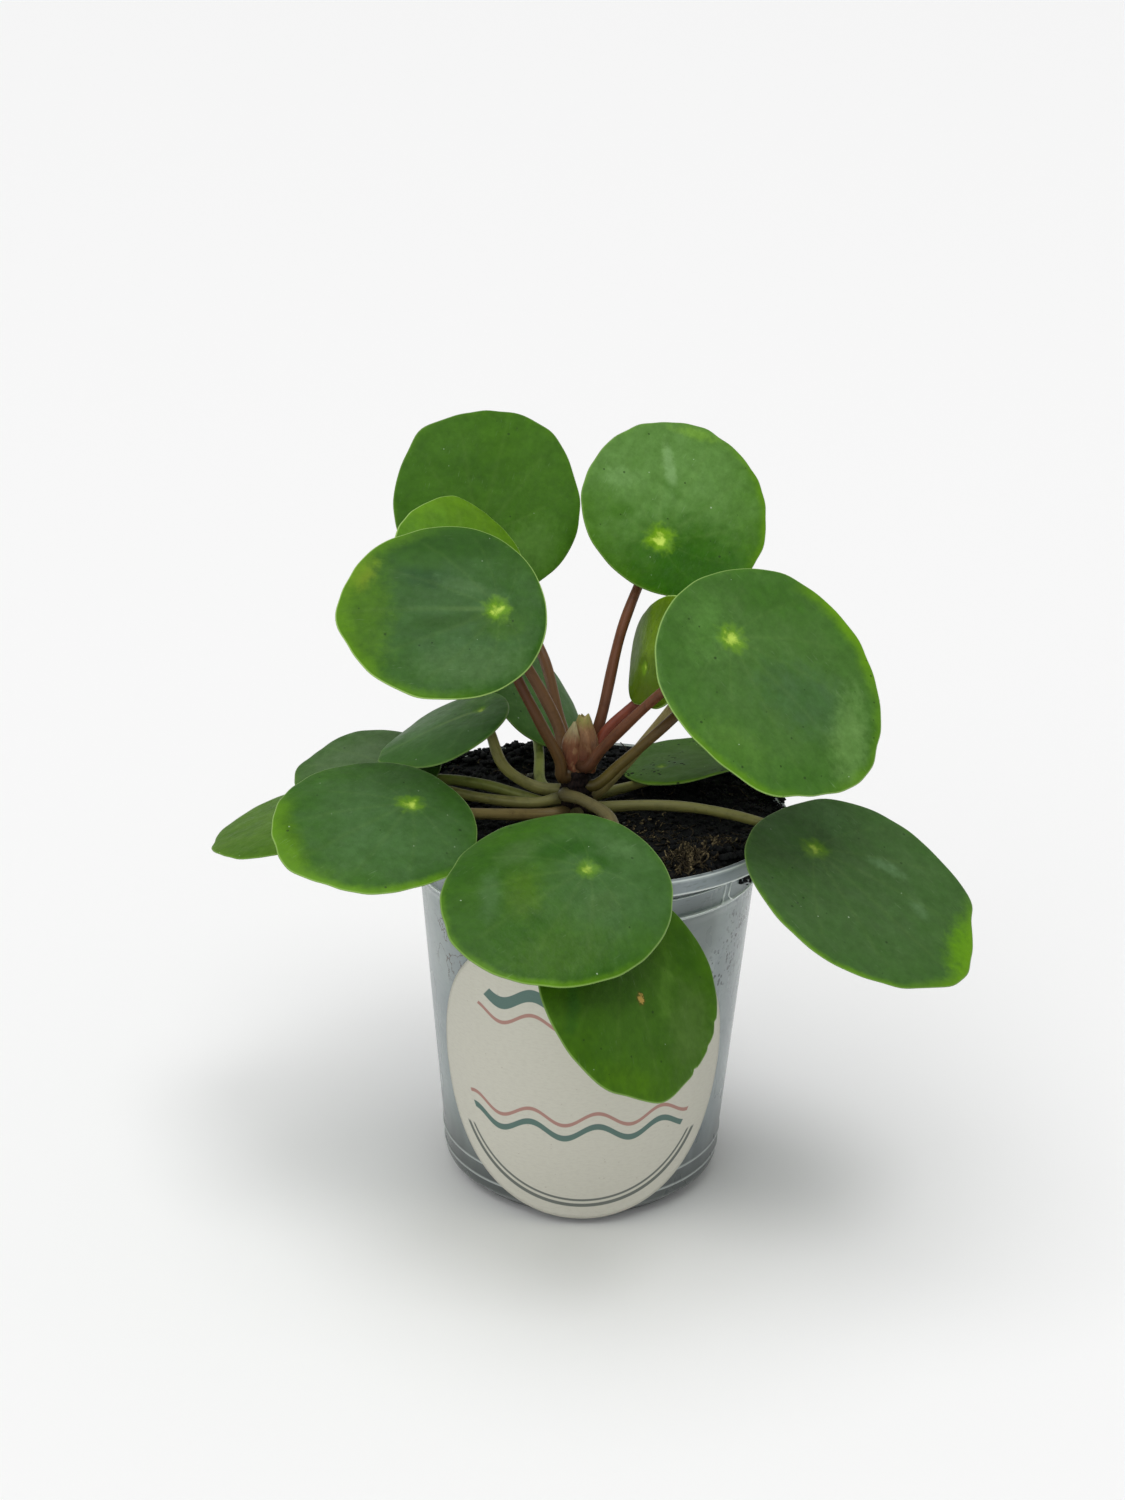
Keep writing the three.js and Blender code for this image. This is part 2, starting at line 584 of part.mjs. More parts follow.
/** A leaf: its blade, held at the hub in its own axes, and its stalk. */
function leafGroup(leaf, index, woody) {
  const { tip, side, normal } = bladeAxes(leaf);
  const group = new THREE.Group();
  const holder = new THREE.Group();
  holder.position.set(...leaf.hub);
  holder.quaternion.setFromRotationMatrix(new THREE.Matrix4().makeBasis(tip, side, normal));
  holder.add(piece(`${leaf.name}_blade`, bladeGeometry(leaf, index), leaf.colour, 0.42));
  group.add(holder, piece(`${leaf.name}_stalk`, stalkGeometry(leaf, normal, woody), leaf.stalk, 0.5));
  return group;
}

const woody = toSolid(trunkGeometry(GAP)).add(budSolid(GAP));
const group = new THREE.Group();
group.add(piece('pot', potGeometry(), 0xa9b5b8, 0.35, { transparent: true, opacity: 0.75 }));
group.add(piece('label', labelGeometry(), 0xc8c3ba, 0.8));
group.add(piece('soil', soilGeometry(), 0x14110f, 0.95));
group.add(piece('trunk', trunkGeometry(), 0x241a18, 0.85));
group.add(piece('bud', fromSolid(budSolid()), 0xb98b68, 0.6));
LEAVES.forEach((leaf, index) => group.add(leafGroup(leaf, index, woody)));

export default group;
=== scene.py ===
"""Looks of a potted pilea: round satin leaves on arching stalks, in a frosted nursery pot.

The frame gives the solids. This script replaces them with finer pieces of the same form, dresses
every piece, and sets up a plain studio. Sizes are in millimetres and are turned to metres where
a mesh is made.
"""

import logging
import math
import random
from collections.abc import Sequence
from dataclasses import dataclass, field
from enum import Enum
from typing import Self

import bpy
import numpy as np
from mathutils import Euler, Matrix, Vector, noise


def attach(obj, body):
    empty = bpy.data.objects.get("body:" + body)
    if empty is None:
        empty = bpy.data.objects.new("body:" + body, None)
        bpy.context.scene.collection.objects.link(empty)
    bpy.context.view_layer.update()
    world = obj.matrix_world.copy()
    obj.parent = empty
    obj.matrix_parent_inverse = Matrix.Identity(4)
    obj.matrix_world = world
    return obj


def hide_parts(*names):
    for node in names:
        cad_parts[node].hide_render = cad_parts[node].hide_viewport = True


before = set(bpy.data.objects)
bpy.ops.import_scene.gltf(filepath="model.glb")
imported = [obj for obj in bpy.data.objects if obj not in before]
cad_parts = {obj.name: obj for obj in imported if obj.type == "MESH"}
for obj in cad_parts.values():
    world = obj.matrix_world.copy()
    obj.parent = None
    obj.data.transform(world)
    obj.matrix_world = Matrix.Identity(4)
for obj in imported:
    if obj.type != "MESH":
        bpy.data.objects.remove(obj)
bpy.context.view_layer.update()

BODY = "root"
MM = 0.001
log = logging.getLogger("pilea")

Pair = tuple[float, float]
Colour = tuple[float, float, float]
Point = tuple[float, float, float]
Screen = tuple[int, int, int]
Face = tuple[int, ...]
Solid = tuple[list[Point], list[Face]]
Socket = bpy.types.NodeSocket
Value = Socket | float | Colour
Array = np.ndarray
Material = bpy.types.Material
Piece = bpy.types.Object
Group = bpy.types.NodeTree


class Slot(Enum):
    """The record's material slots."""

    POT = "pot"
    LABEL = "label"
    SOIL = "soil"
    TRUNK = "trunk"
    BUD = "bud"
    LEAF_GREEN = "leaf_green"
    LEAF_YOUNG = "leaf_young"
    STALK_RED = "stalk_red"
    STALK_OLIVE = "stalk_olive"


def linear(red: int, green: int, blue: int) -> Colour:
    """Turn a screen colour of 0 to 255 into linear light.

    Args:
        red: red part.
        green: green part.
        blue: blue part.

    Returns:
        The colour in linear light, each part from 0 to 1.
    """
    def part(value: int) -> float:
        """One part in linear light."""
        share = value / 255
        return share / 12.92 if share <= 0.04045 else ((share + 0.055) / 1.055) ** 2.4

    return part(red), part(green), part(blue)


def between(low: float | Array, high: float | Array, share: float | Array) -> float | Array:
    """A straight value from low to high."""
    return low + (high - low) * share


def smooth_step(low: float, high: float, value: float | Array) -> float | Array:
    """An eased rise from 0 at low to 1 at high."""
    share = np.clip((value - low) / (high - low), 0.0, 1.0)
    return share * share * (3 - 2 * share)


def swell(away: float | Array, reach: float) -> float | Array:
    """A bell of height 1 that fades with the distance, over a reach."""
    return np.exp(-((away / reach) ** 2))


def turned(angle: Array) -> Array:
    """An angle brought between minus and plus half a turn."""
    return np.arctan2(np.sin(angle), np.cos(angle))


def round_angles(count: int) -> Array:
    """Angles evenly spaced round a full turn, in radians."""
    return np.linspace(0, math.tau, count, endpoint=False)


class NodeCanvas:
    """Short calls for laying out one node tree."""

    NUMBERS = ("LENGTH", "DISTANCE", "DOT_PRODUCT")

    def __init__(self, tree: Group) -> None:
        """Start on an existing tree."""
        self.tree = tree

    def add(self, kind: str, **settings: str | bool | Group) -> bpy.types.Node:
        """Add a node and set its properties.

        Args:
            kind: the node's type, without the ShaderNode prefix.
            settings: the node's own properties.

        Returns:
            The new node.
        """
        node = self.tree.nodes.new("ShaderNode" + kind)
        for name, value in settings.items():
            setattr(node, name, value)
        return node

    def feed(self, socket: Socket, value: Value) -> None:
        """Link a socket to another one, or set its value.

        Args:
            socket: the input to fill.
            value: an output socket, a number, a vector or a colour.
        """
        if isinstance(value, Socket):
            self.tree.links.new(value, socket)
        elif isinstance(value, tuple) and len(value) == 3 and socket.type == "RGBA":
            socket.default_value = (*value, 1.0)
        else:
            socket.default_value = value

    def math(self, operation: str, first: Value, second: Value = 0.0, clamp: bool = False) -> Socket:
        """A sum, product or other calculation.

        Args:
            operation: the calculation, in Blender's words.
            first: the first value.
            second: the second value.
            clamp: whether the result is held from 0 to 1.

        Returns:
            The result's socket.
        """
        node = self.add("Math", operation=operation, use_clamp=clamp)
        self.feed(node.inputs[0], first)
        self.feed(node.inputs[1], second)
        return node.outputs[0]

    def times(self, first: Value, second: Value) -> Socket:
        """Two values multiplied."""
        return self.math("MULTIPLY", first, second)

    def vector(self, operation: str, first: Value, second: Value = (0.0, 0.0, 0.0)) -> Socket:
        """A calculation with vectors.

        Args:
            operation: the calculation, in Blender's words.
            first: the first vector.
            second: the second vector, where it takes one.

        Returns:
            The result's socket, a number for a length, a distance or a dot product.
        """
        node = self.add("VectorMath", operation=operation)
        self.feed(node.inputs[0], first)
        self.feed(node.inputs[1], second)
        return node.outputs["Value" if operation in self.NUMBERS else "Vector"]

    def stretched(self, where: Value, amounts: Point) -> Socket:
        """A vector with each part multiplied."""
        return self.vector("MULTIPLY", where, amounts)

    def split(self, where: Value) -> tuple[Socket, ...]:
        """Take a vector apart.

        Args:
            where: the vector.

        Returns:
            Its three parts.
        """
        node = self.add("SeparateXYZ")
        self.feed(node.inputs[0], where)
        return tuple(node.outputs)

    def ease(self, value: Value, low: float, high: float, start: float = 0.0, end: float = 1.0) -> Socket:
        """An eased change from start, where value is low, to end, where it is high.

        Args:
            value: the driving value.
            low: where the change begins.
            high: where the change ends.
            start: the result below low.
            end: the result above high.

        Returns:
            The result's socket.
        """
        node = self.add("MapRange", interpolation_type="SMOOTHSTEP")
        for name, number in zip(("Value", "From Min", "From Max", "To Min", "To Max"),
                                (value, low, high, start, end)):
            self.feed(node.inputs[name], number)
        return node.outputs[0]

    def blend(self, share: Value, first: Value, second: Value, kind: str = "MIX") -> Socket:
        """Two colours mixed by a share.

        Args:
            share: how much of the second shows.
            first: the first colour.
            second: the second colour.
            kind: the blend's name.

        Returns:
            The mixed colour's socket.
        """
        node = self.add("Mix", data_type="RGBA", blend_type=kind)
        self.feed(node.inputs[0], share)
        self.feed(node.inputs[6], first)
        self.feed(node.inputs[7], second)
        return node.outputs[2]

    def noise(self, where: Value, scale: Value, detail: float = 2.0, roughness: float = 0.5) -> Socket:
        """Cloudy noise from 0 to 1, about 0.5 on average.

        Args:
            where: the place.
            scale: how fine it is.
            detail: how many finer layers it has.
            roughness: how strong the finer layers are.

        Returns:
            The value's socket.
        """
        node = self.add("TexNoise")
        for name, value in zip(("Vector", "Scale", "Detail", "Roughness"), (where, scale, detail, roughness)):
            self.feed(node.inputs[name], value)
        return node.outputs["Fac"]

    def place(self) -> Socket:
        """The piece's own coordinates in millimetres."""
        return self.stretched(self.add("TexCoord").outputs["Object"], (1 / MM, 1 / MM, 1 / MM))

    def window(self, place: Value, middle: Point, reach: float) -> Socket:
        """A soft round mask about a middle, out to a reach in millimetres."""
        return self.ease(self.vector("DISTANCE", place, middle), 0.45 * reach, reach, 1.0, 0.0)

    def attribute(self, name: str, output: str = "Fac") -> Socket:
        """A value that the mesh carries at its points."""
        return self.add("Attribute", attribute_name=name).outputs[output]

    def use(self, group: Group, **values: Value) -> Socket:
        """Place a node group and fill its named inputs.

        Args:
            group: the group.
            values: input values, by the inputs' names.

        Returns:
            The socket of the group's output.
        """
        node = self.add("Group", node_tree=group)
        for name, value in values.items():
            self.feed(node.inputs[name], value)
        return node.outputs[0]


class Effects:
    """Node groups that several finishes share, each built once."""

    _made: dict[str, Group] = {}

    @classmethod
    def _start(cls, name: str, inputs: dict[str, float | None],
               output: str) -> tuple[NodeCanvas, bpy.types.NodeOutputs, Socket]:
        """Make an empty group with named sockets.

        Args:
            name: the group's name.
            inputs: number inputs with their defaults, or None for a vector.
            output: the name of its number output.

        Returns:
            The canvas, what comes in, and the socket that goes out.
        """
        group = bpy.data.node_groups.new(name, "ShaderNodeTree")
        for label, value in inputs.items():
            kind = "NodeSocketVector" if value is None else "NodeSocketFloat"
            socket = group.interface.new_socket(label, in_out="INPUT", socket_type=kind)
            if value is not None:
                socket.default_value = value
        group.interface.new_socket(output, in_out="OUTPUT", socket_type="NodeSocketFloat")
        entry = group.nodes.new("NodeGroupInput")
        leave = group.nodes.new("NodeGroupOutput")
        cls._made[name] = group
        return NodeCanvas(group), entry.outputs, leave.inputs[0]

    @classmethod
    def mottle(cls) -> Group:
        """Soft blotches: a mask of cloudy noise with its contrast raised.

        Returns:
            The group.
        """
        if "Mottle" not in cls._made:
            canvas, given, mask = cls._start("Mottle", {"Place": None, "Scale": 0.1, "Contrast": 2.0}, "Mask")
            cloud = canvas.noise(given["Place"], given["Scale"], 4.0, 0.55)
            raised = canvas.times(canvas.math("SUBTRACT", cloud, 0.5), given["Contrast"])
            canvas.feed(mask, canvas.math("ADD", raised, 0.5, clamp=True))
        return cls._made["Mottle"]

    @classmethod
    def specks(cls) -> Group:
        """Scattered round specks: few of the cells of a Voronoi pattern hold a dot.

        Returns:
            The group.
        """
        if "Specks" not in cls._made:
            inputs = {"Place": None, "Scale": 0.5, "Size": 0.12, "Share": 0.2}
            canvas, given, mask = cls._start("Specks", inputs, "Mask")
            cells = canvas.add("TexVoronoi")
            canvas.feed(cells.inputs["Vector"], given["Place"])
            canvas.feed(cells.inputs["Scale"], given["Scale"])
            draws = canvas.add("SeparateColor")
            canvas.feed(draws.inputs[0], cells.outputs["Color"])
            kept = canvas.math("LESS_THAN", draws.outputs[0], given["Share"])
            own = canvas.times(given["Size"], canvas.math("ADD", draws.outputs[1], 0.35))
            inside = canvas.math("LESS_THAN", cells.outputs["Distance"], own)
            canvas.feed(mask, canvas.times(kept, inside))
        return cls._made["Specks"]

    @classmethod
    def grain(cls) -> Group:
        """Fine surface relief: two layers of noise as a height.

        Returns:
            The group.
        """
        if "Grain" not in cls._made:
            inputs = {"Place": None, "Scale": 2.0, "Fineness": 4.0}
            canvas, given, height = cls._start("Grain", inputs, "Height")
            broad = canvas.noise(given["Place"], given["Scale"], 2.0)
            fine = canvas.noise(given["Place"], canvas.times(given["Scale"], given["Fineness"]), 3.0)
            canvas.feed(height, canvas.math("ADD", broad, canvas.times(fine, 0.4)))
        return cls._made["Grain"]


class Skin(NodeCanvas):
    """A material in the making: its Principled shader and the colour laid so far."""

    def __init__(self, name: str, colour: Value = (0.8, 0.8, 0.8)) -> None:
        """Make the material with a bare shader.

        Args:
            name: the material's name.
            colour: its first colour.
        """
        self.material = bpy.data.materials.new(name)
        self.material.use_nodes = True
        super().__init__(self.material.node_tree)
        self.shader = self.tree.nodes["Principled BSDF"]
        self.colour = colour

    def lay(self, mask: Value, over: Colour, strength: float = 1.0, kind: str = "MIX") -> None:
        """Lay a colour over the one so far, by a mask, a strength and the kind of blend."""
        share = mask if strength == 1.0 else self.times(mask, strength)
        self.colour = self.blend(share, self.colour, over, kind)

    def specks(self, place: Value, scale: float, size: float, share: float) -> Socket:
        """A mask of scattered specks: how dense its cells, how large the dots, how many cells hold one."""
        return self.use(Effects.specks(), Place=place, Scale=scale, Size=size, Share=share)

    def mottle(self, place: Value, scale: float, contrast: float) -> Socket:
        """A mask of soft blotches, by how fine they are and how strongly they differ."""
        return self.use(Effects.mottle(), Place=place, Scale=scale, Contrast=contrast)

    def scatter(self, weight: float, radius: Point) -> None:
        """Let light spread under the surface, each colour by its own radius."""
        self.shader.inputs["Subsurface Weight"].default_value = weight
        self.shader.inputs["Subsurface Radius"].default_value = radius

    def finish(self, roughness: Value, specular: float = 0.5, relief: Value | None = None,
               depth: float = 0.0) -> Material:
        """Feed the shader with the colour laid, and with gloss and relief.

        Args:
            roughness: how rough the surface is.
            specular: the strength of its sheen.
            relief: the height of its relief, if it has one.
            depth: how deep the relief is, in millimetres.

        Returns:
            The finished material.
        """
        self.feed(self.shader.inputs["Base Color"], self.colour)
        self.feed(self.shader.inputs["Roughness"], roughness)
        self.shader.inputs["Specular IOR Level"].default_value = specular
        if relief is not None:
            node = self.add("Bump")
            node.inputs["Strength"].default_value = 1.0
            node.inputs["Distance"].default_value = depth * MM
            self.feed(node.inputs["Height"], relief)
            self.feed(self.shader.inputs["Normal"], node.outputs["Normal"])
        return self.material


@dataclass(frozen=True)
class Band:
    """A yellow-green stretch of the margin.

    It lies toward an angle from the tip, fades at a spread to each side, and reaches a width
    in from the edge.
    """

    toward: float
    spread: float = 45.0
    width: float = 6.0
    strength: float = 0.8


@dataclass(frozen=True)
class BloomSheen:
    """The waxy, bluish part of a blade, partly its own waxy film and partly painted sheen: its middle, its
    reach, its strength and its colour.
    """

    along: float = 10.0
    across: float = 0.0
    reach: float = 26.0
    strength: float = 0.8
    colour: Screen = (66, 104, 48)


@dataclass(frozen=True)
class ToneShadeSheenPatch:
    """A soft oval of another green, partly the leaf's own tone and partly painted sheen and painted shade:
    its middle, half sizes, turn, colour and strength.
    """

    along: float
    across: float
    long: float
    wide: float
    turn: float
    colour: Screen
    strength: float = 0.6


@dataclass(frozen=True)
class BladeLook:
    """How one blade's skin looks: greens, a waxy film with painted sheen, bands, ovals of other greens with
    painted sheen and shade, and marks, each with its strength.
    """

    rim: float = 0.5
    deep: Screen = (48, 88, 14)
    light: Screen = (62, 102, 24)
    bloom_sheen: BloomSheen = BloomSheen()
    bands: tuple[Band, ...] = ()
    spot: float = 1.0
    roughness: float = 0.38
    specular: float = 0.16
    tone_shade_sheen_patches: tuple[ToneShadeSheenPatch, ...] = ()
    midline: float = 0.0
    blemish: Pair | None = None
    dirt: float = 0.0
    scratches: float = 0.15


class BladeSkin(Skin):
    """A blade's material in the making, with the places and values that its marks go by."""

    OFFSET = (31.0, 17.0)

    def __init__(self, name: str, seed: int) -> None:
        """Start the material and read what the mesh carries.

        Args:
            name: the material's name.
            seed: sets the blade's noise apart from the other blades'.
        """
        super().__init__(name)
        self.where = self.attribute("blade_place", "Vector")
        self.edge = self.attribute("blade_edge")
        self.away = self.vector("LENGTH", self.where)
        self.heading = self.vector("NORMALIZE", self.where)
        self.own = self.vector("ADD", self.where, (self.OFFSET[0] * seed, self.OFFSET[1] * seed, 5.0))
        self.rays = self._rays()

    def _rays(self) -> Socket:
        """Streaks that run out from the hub.

        Returns:
            Their strength.
        """
        drift = self.add("CombineXYZ")
        self.feed(drift.inputs["Z"], self.times(self.away, 0.05))
        round_hub = self.stretched(self.heading, (4.5, 4.5, 0.0))
        return self.noise(self.vector("ADD", round_hub, drift.outputs[0]), 1.0, 4.0, 0.6)

    def uneven_edge(self, depth: float) -> Socket:
        """The distance from the margin, made uneven by a depth in millimetres."""
        wander = self.math("SUBTRACT", self.noise(self.own, 0.15, 4.0, 0.6), 0.5)
        return self.math("ADD", self.edge, self.times(wander, 2 * depth))


@dataclass(frozen=True)
class BladeFinish:
    """Satin leaf skin: green with a waxy film and painted sheen, ovals of painted sheen and shade, a pale hub
    spot, faint veins and a bright margin.
    """

    name: str
    look: BladeLook
    seed: int
    scale: float = 1.0
    under: Colour = linear(112, 142, 84)
    spot: Colour = linear(190, 218, 88)
    halo: Colour = linear(116, 164, 22)
    margin: Colour = linear(166, 200, 112)
    band: Colour = linear(98, 146, 8)
    shadow: Colour = linear(212, 218, 200)
    dust: Colour = linear(196, 216, 186)
    dots: Colour = linear(22, 42, 10)
    scratch: Colour = linear(166, 190, 152)
    dirt: Colour = linear(22, 20, 16)
    scar: Colour = linear(178, 146, 74)
    scar_edge: Colour = linear(78, 84, 24)

    def make(self) -> Material:
        """Build the material.

        Returns:
            The finished material.
        """
        look = self.look
        deep, light = linear(*look.deep), linear(*look.light)
        skin = BladeSkin(self.name, self.seed)
        vein = skin.attribute("blade_vein")
        fine = skin.mottle(skin.own, 0.7, 1.8)
        broad = skin.mottle(skin.own, 0.05, 2.6)
        skin.colour = skin.blend(broad, deep, light)
        # a waxy film over the blade's middle, partly painted sheen: a paler, bluish haze
        skin.lay(self._bloom_sheen(skin), linear(*look.bloom_sheen.colour))
        skin.lay(skin.ease(skin.rays, 0.5, 0.8, 0.0, 0.1), light)
        skin.lay(skin.ease(skin.rays, 0.5, 0.2, 0.0, 0.12), deep)
        # ovals of other greens: partly the leaf's own tone, partly painted sheen and painted shade
        for patch in look.tone_shade_sheen_patches:
            skin.lay(self._tone_shade_sheen_patch(skin, patch), linear(*patch.colour))
        skin.lay(vein, self.margin, 0.045)
        skin.lay(skin.mottle(skin.stretched(skin.own, (0.8, 1.2, 1.0)), 0.17, 2.6), deep, 0.3)
        skin.lay(skin.mottle(skin.own, 0.3, 2.4), self.shadow, 0.75, "MULTIPLY")
        skin.lay(fine, self.shadow, 0.5, "MULTIPLY")
        skin.lay(skin.ease(skin.uneven_edge(2.5), -1.0, 2.0, 0.16, 0.0), self.band)
        for band in look.bands:
            skin.lay(self._band(skin, band), self.band)
        if look.midline:
            skin.lay(self._midline(skin), self.margin)
        self._spot(skin)
        skin.lay(skin.ease(skin.edge, 0.1, 0.5, look.rim, 0.0), self.margin)
        self._marks(skin)
        skin.lay(skin.math("SUBTRACT", 1.0, skin.attribute("blade_upper")), self.under)

        sheen = skin.math("ADD", skin.times(fine, 0.1), skin.times(broad, 0.1))
        roughness = skin.math("ADD", sheen, look.roughness - 0.08)
        grain = skin.use(Effects.grain(), Place=skin.own, Scale=0.9, Fineness=4.5)
        pucker = skin.times(skin.noise(skin.own, 0.13, 4.0, 0.45), 12.0)
        relief = skin.math("SUBTRACT", skin.math("ADD", grain, pucker), skin.times(vein, 0.5))
        return skin.finish(roughness, look.specular, relief, 0.05)

    def _bloom_sheen(self, skin: BladeSkin) -> Socket:
        """The mask of the waxy film and its painted sheen.

        Args:
            skin: the material in the making.

        Returns:
            The mask.
        """
        bloom_sheen = self.look.bloom_sheen
        gap = skin.vector("DISTANCE", skin.where, (bloom_sheen.along, bloom_sheen.across, 0.0))
        cloud = skin.math("SUBTRACT", skin.noise(skin.own, 0.09, 4.0, 0.6), 0.5)
        uneven = skin.math("ADD", gap, skin.times(cloud, 26.0))
        uneven = skin.math("ADD", uneven, skin.times(skin.rays, -5.0))
        return skin.ease(uneven, 0.2 * bloom_sheen.reach, bloom_sheen.reach, bloom_sheen.strength, 0.0)

    def _tone_shade_sheen_patch(self, skin: BladeSkin, patch: ToneShadeSheenPatch) -> Socket:
        """The mask of one soft oval.

        Args:
            skin: the material in the making.
            patch: where the oval lies.

        Returns:
            The mask.
        """
        oval = skin.add("Mapping", vector_type="TEXTURE")
        skin.feed(oval.inputs["Vector"], skin.where)
        oval.inputs["Location"].default_value = (patch.along, patch.across, 0.0)
        oval.inputs["Rotation"].default_value = (0.0, 0.0, math.radians(patch.turn))
        oval.inputs["Scale"].default_value = (patch.long, patch.wide, 1.0)
        away = skin.vector("LENGTH", oval.outputs[0])
        ragged = skin.math("ADD", away, skin.noise(skin.own, 0.35, 4.0, 0.6))
        return skin.ease(ragged, 0.75, 1.6, patch.strength, 0.0)

    def _band(self, skin: BladeSkin, band: Band) -> Socket:
        """The mask of one yellow band.

        Args:
            skin: the material in the making.
            band: where the band lies.

        Returns:
            The mask.
        """
        turn, spread = math.radians(band.toward), math.radians(band.spread)
        facing = skin.vector("DOT_PRODUCT", skin.heading, (math.cos(turn), math.sin(turn), 0.0))
        side = skin.ease(facing, math.cos(spread), math.cos(0.3 * spread))
        near = skin.ease(skin.uneven_edge(0.5 * band.width), 0.0, 0.85 * band.width, band.strength, 0.0)
        return skin.times(side, near)

    def _midline(self, skin: BladeSkin) -> Socket:
        """The mask of the pale crease that runs ahead of the hub.

        Args:
            skin: the material in the making.

        Returns:
            The mask.
        """
        along, across, _ = skin.split(skin.where)
        line = skin.ease(skin.math("ABSOLUTE", across), 0.2, 1.3, self.look.midline, 0.0)
        ahead = skin.times(skin.ease(along, -1.0, 2.0), skin.ease(along, 5.0, 20.0, 1.0, 0.2))
        return skin.times(line, ahead)

    def _spot(self, skin: BladeSkin) -> None:
        """Lay the pale hub spot with its short, uneven rays.

        Args:
            skin: the material in the making.
        """
        strength = self.look.spot
        size = self.scale * (0.45 + 0.45 * strength)
        wander = skin.times(skin.noise(skin.own, 0.45, 2.0), -5.5 * size)
        ragged = skin.math("ADD", skin.away, skin.math("ADD", wander, skin.times(skin.rays, -2.0 * size)))
        skin.lay(skin.ease(ragged, -2.2 * size, 2.2 * size, 0.7 * strength, 0.0), self.halo)
        skin.lay(skin.ease(ragged, -3.6 * size, -1.3 * size, 0.95 * strength, 0.0), self.spot)

    def _marks(self, skin: BladeSkin) -> None:
        """Lay dust, dark dots, and the blade's own scratches, dirt and blemish.

        Args:
            skin: the material in the making.
        """
        look = self.look
        skin.lay(skin.specks(skin.own, 0.4, 0.08, 0.09), self.dust, 0.5)
        shifted = skin.vector("ADD", skin.own, (*skin.OFFSET, 5.0))
        skin.lay(skin.specks(shifted, 0.3, 0.1, 0.3), self.dots, 0.6)
        stretch = skin.ease(skin.noise(shifted, 0.12, 2.0), 0.48, 0.6)
        if look.scratches:
            fine = skin.noise(skin.stretched(skin.own, (0.18, 1.6, 1.0)), 1.0, 4.0, 0.7)
            skin.lay(skin.times(skin.ease(fine, 0.6, 0.7), stretch), self.scratch, look.scratches)
        if look.dirt:
            skin.lay(skin.times(skin.specks(skin.own, 0.75, 0.42, 0.4), stretch), self.dirt, look.dirt)
        if look.blemish:
            along, across = look.blemish
            squeezed = skin.stretched(skin.where, (1.0, 1.5, 1.0))
            gap = skin.vector("DISTANCE", squeezed, (along, 1.5 * across, 0.0))
            ragged = skin.math("SUBTRACT", gap, skin.times(skin.noise(skin.where, 0.9, 3.0, 0.7), 4.2))
            skin.lay(skin.ease(ragged, -0.5, 0.2, 0.8, 0.0), self.scar_edge)
            skin.lay(skin.ease(ragged, -1.1, -0.6, 1.0, 0.0), self.scar)


@dataclass(frozen=True)
class StalkFinish:
    """Smooth stalk skin that changes colour from the root to the hub, with fine long streaks and painted
    shade where it meets the trunk.
    """

    name: str
    root: Colour
    tip: Colour
    change: Pair = (0.05, 0.75)
    # colour of the painted shade at the stalk's root, where it meets the trunk
    root_shade: Colour = linear(30, 26, 16)
    dust: Colour = linear(60, 40, 30)

    def make(self) -> Material:
        """Build the material.

        Returns:
            The finished material.
        """
        skin = Skin(self.name)
        where = skin.attribute("stalk_place", "Vector")
        place = skin.place()
        share = skin.split(where)[2]
        dark = tuple(0.45 * part for part in self.root)
        pale = tuple(min(1.0, 1.5 * part + 0.02) for part in self.tip)
        streaks = skin.noise(skin.stretched(where, (3.2, 3.2, 2.0)), 1.0, 4.0, 0.65)
        skin.colour = skin.blend(skin.ease(share, *self.change), self.root, self.tip)
        skin.lay(skin.ease(streaks, 0.48, 0.8, 0.0, 0.5), dark)
        skin.lay(skin.ease(streaks, 0.48, 0.2, 0.0, 0.4), pale)
        # painted shade where the stalk meets the trunk
        skin.lay(skin.ease(share, 0.02, 0.14, 0.55, 0.0), self.root_shade)
        skin.lay(skin.ease(skin.noise(place, 0.35, 3.0, 0.6), 0.45, 0.75, 0.0, 0.45), dark)
        skin.lay(skin.specks(place, 0.9, 0.12, 0.1), self.dust, 0.5)
        skin.scatter(0.04, (0.002, 0.001, 0.0006))
        return skin.finish(skin.ease(streaks, 0.2, 0.8, 0.34, 0.5), 0.28, streaks, 0.09)


@dataclass(frozen=True)
class BarkFinish:
    """Dark rough bark."""

    name: str = "pilea_bark"
    crack: Colour = linear(12, 9, 11)
    ridge: Colour = linear(46, 34, 30)

    def make(self) -> Material:
        """Build the material.

        Returns:
            The finished material.
        """
        skin = Skin(self.name)
        cracks = skin.noise(skin.stretched(skin.place(), (1.0, 1.0, 0.5)), 1.1, 6.0, 0.7)
        skin.colour = skin.blend(skin.ease(cracks, 0.35, 0.7), self.crack, self.ridge)
        return skin.finish(0.8, 0.15, cracks, 0.5)


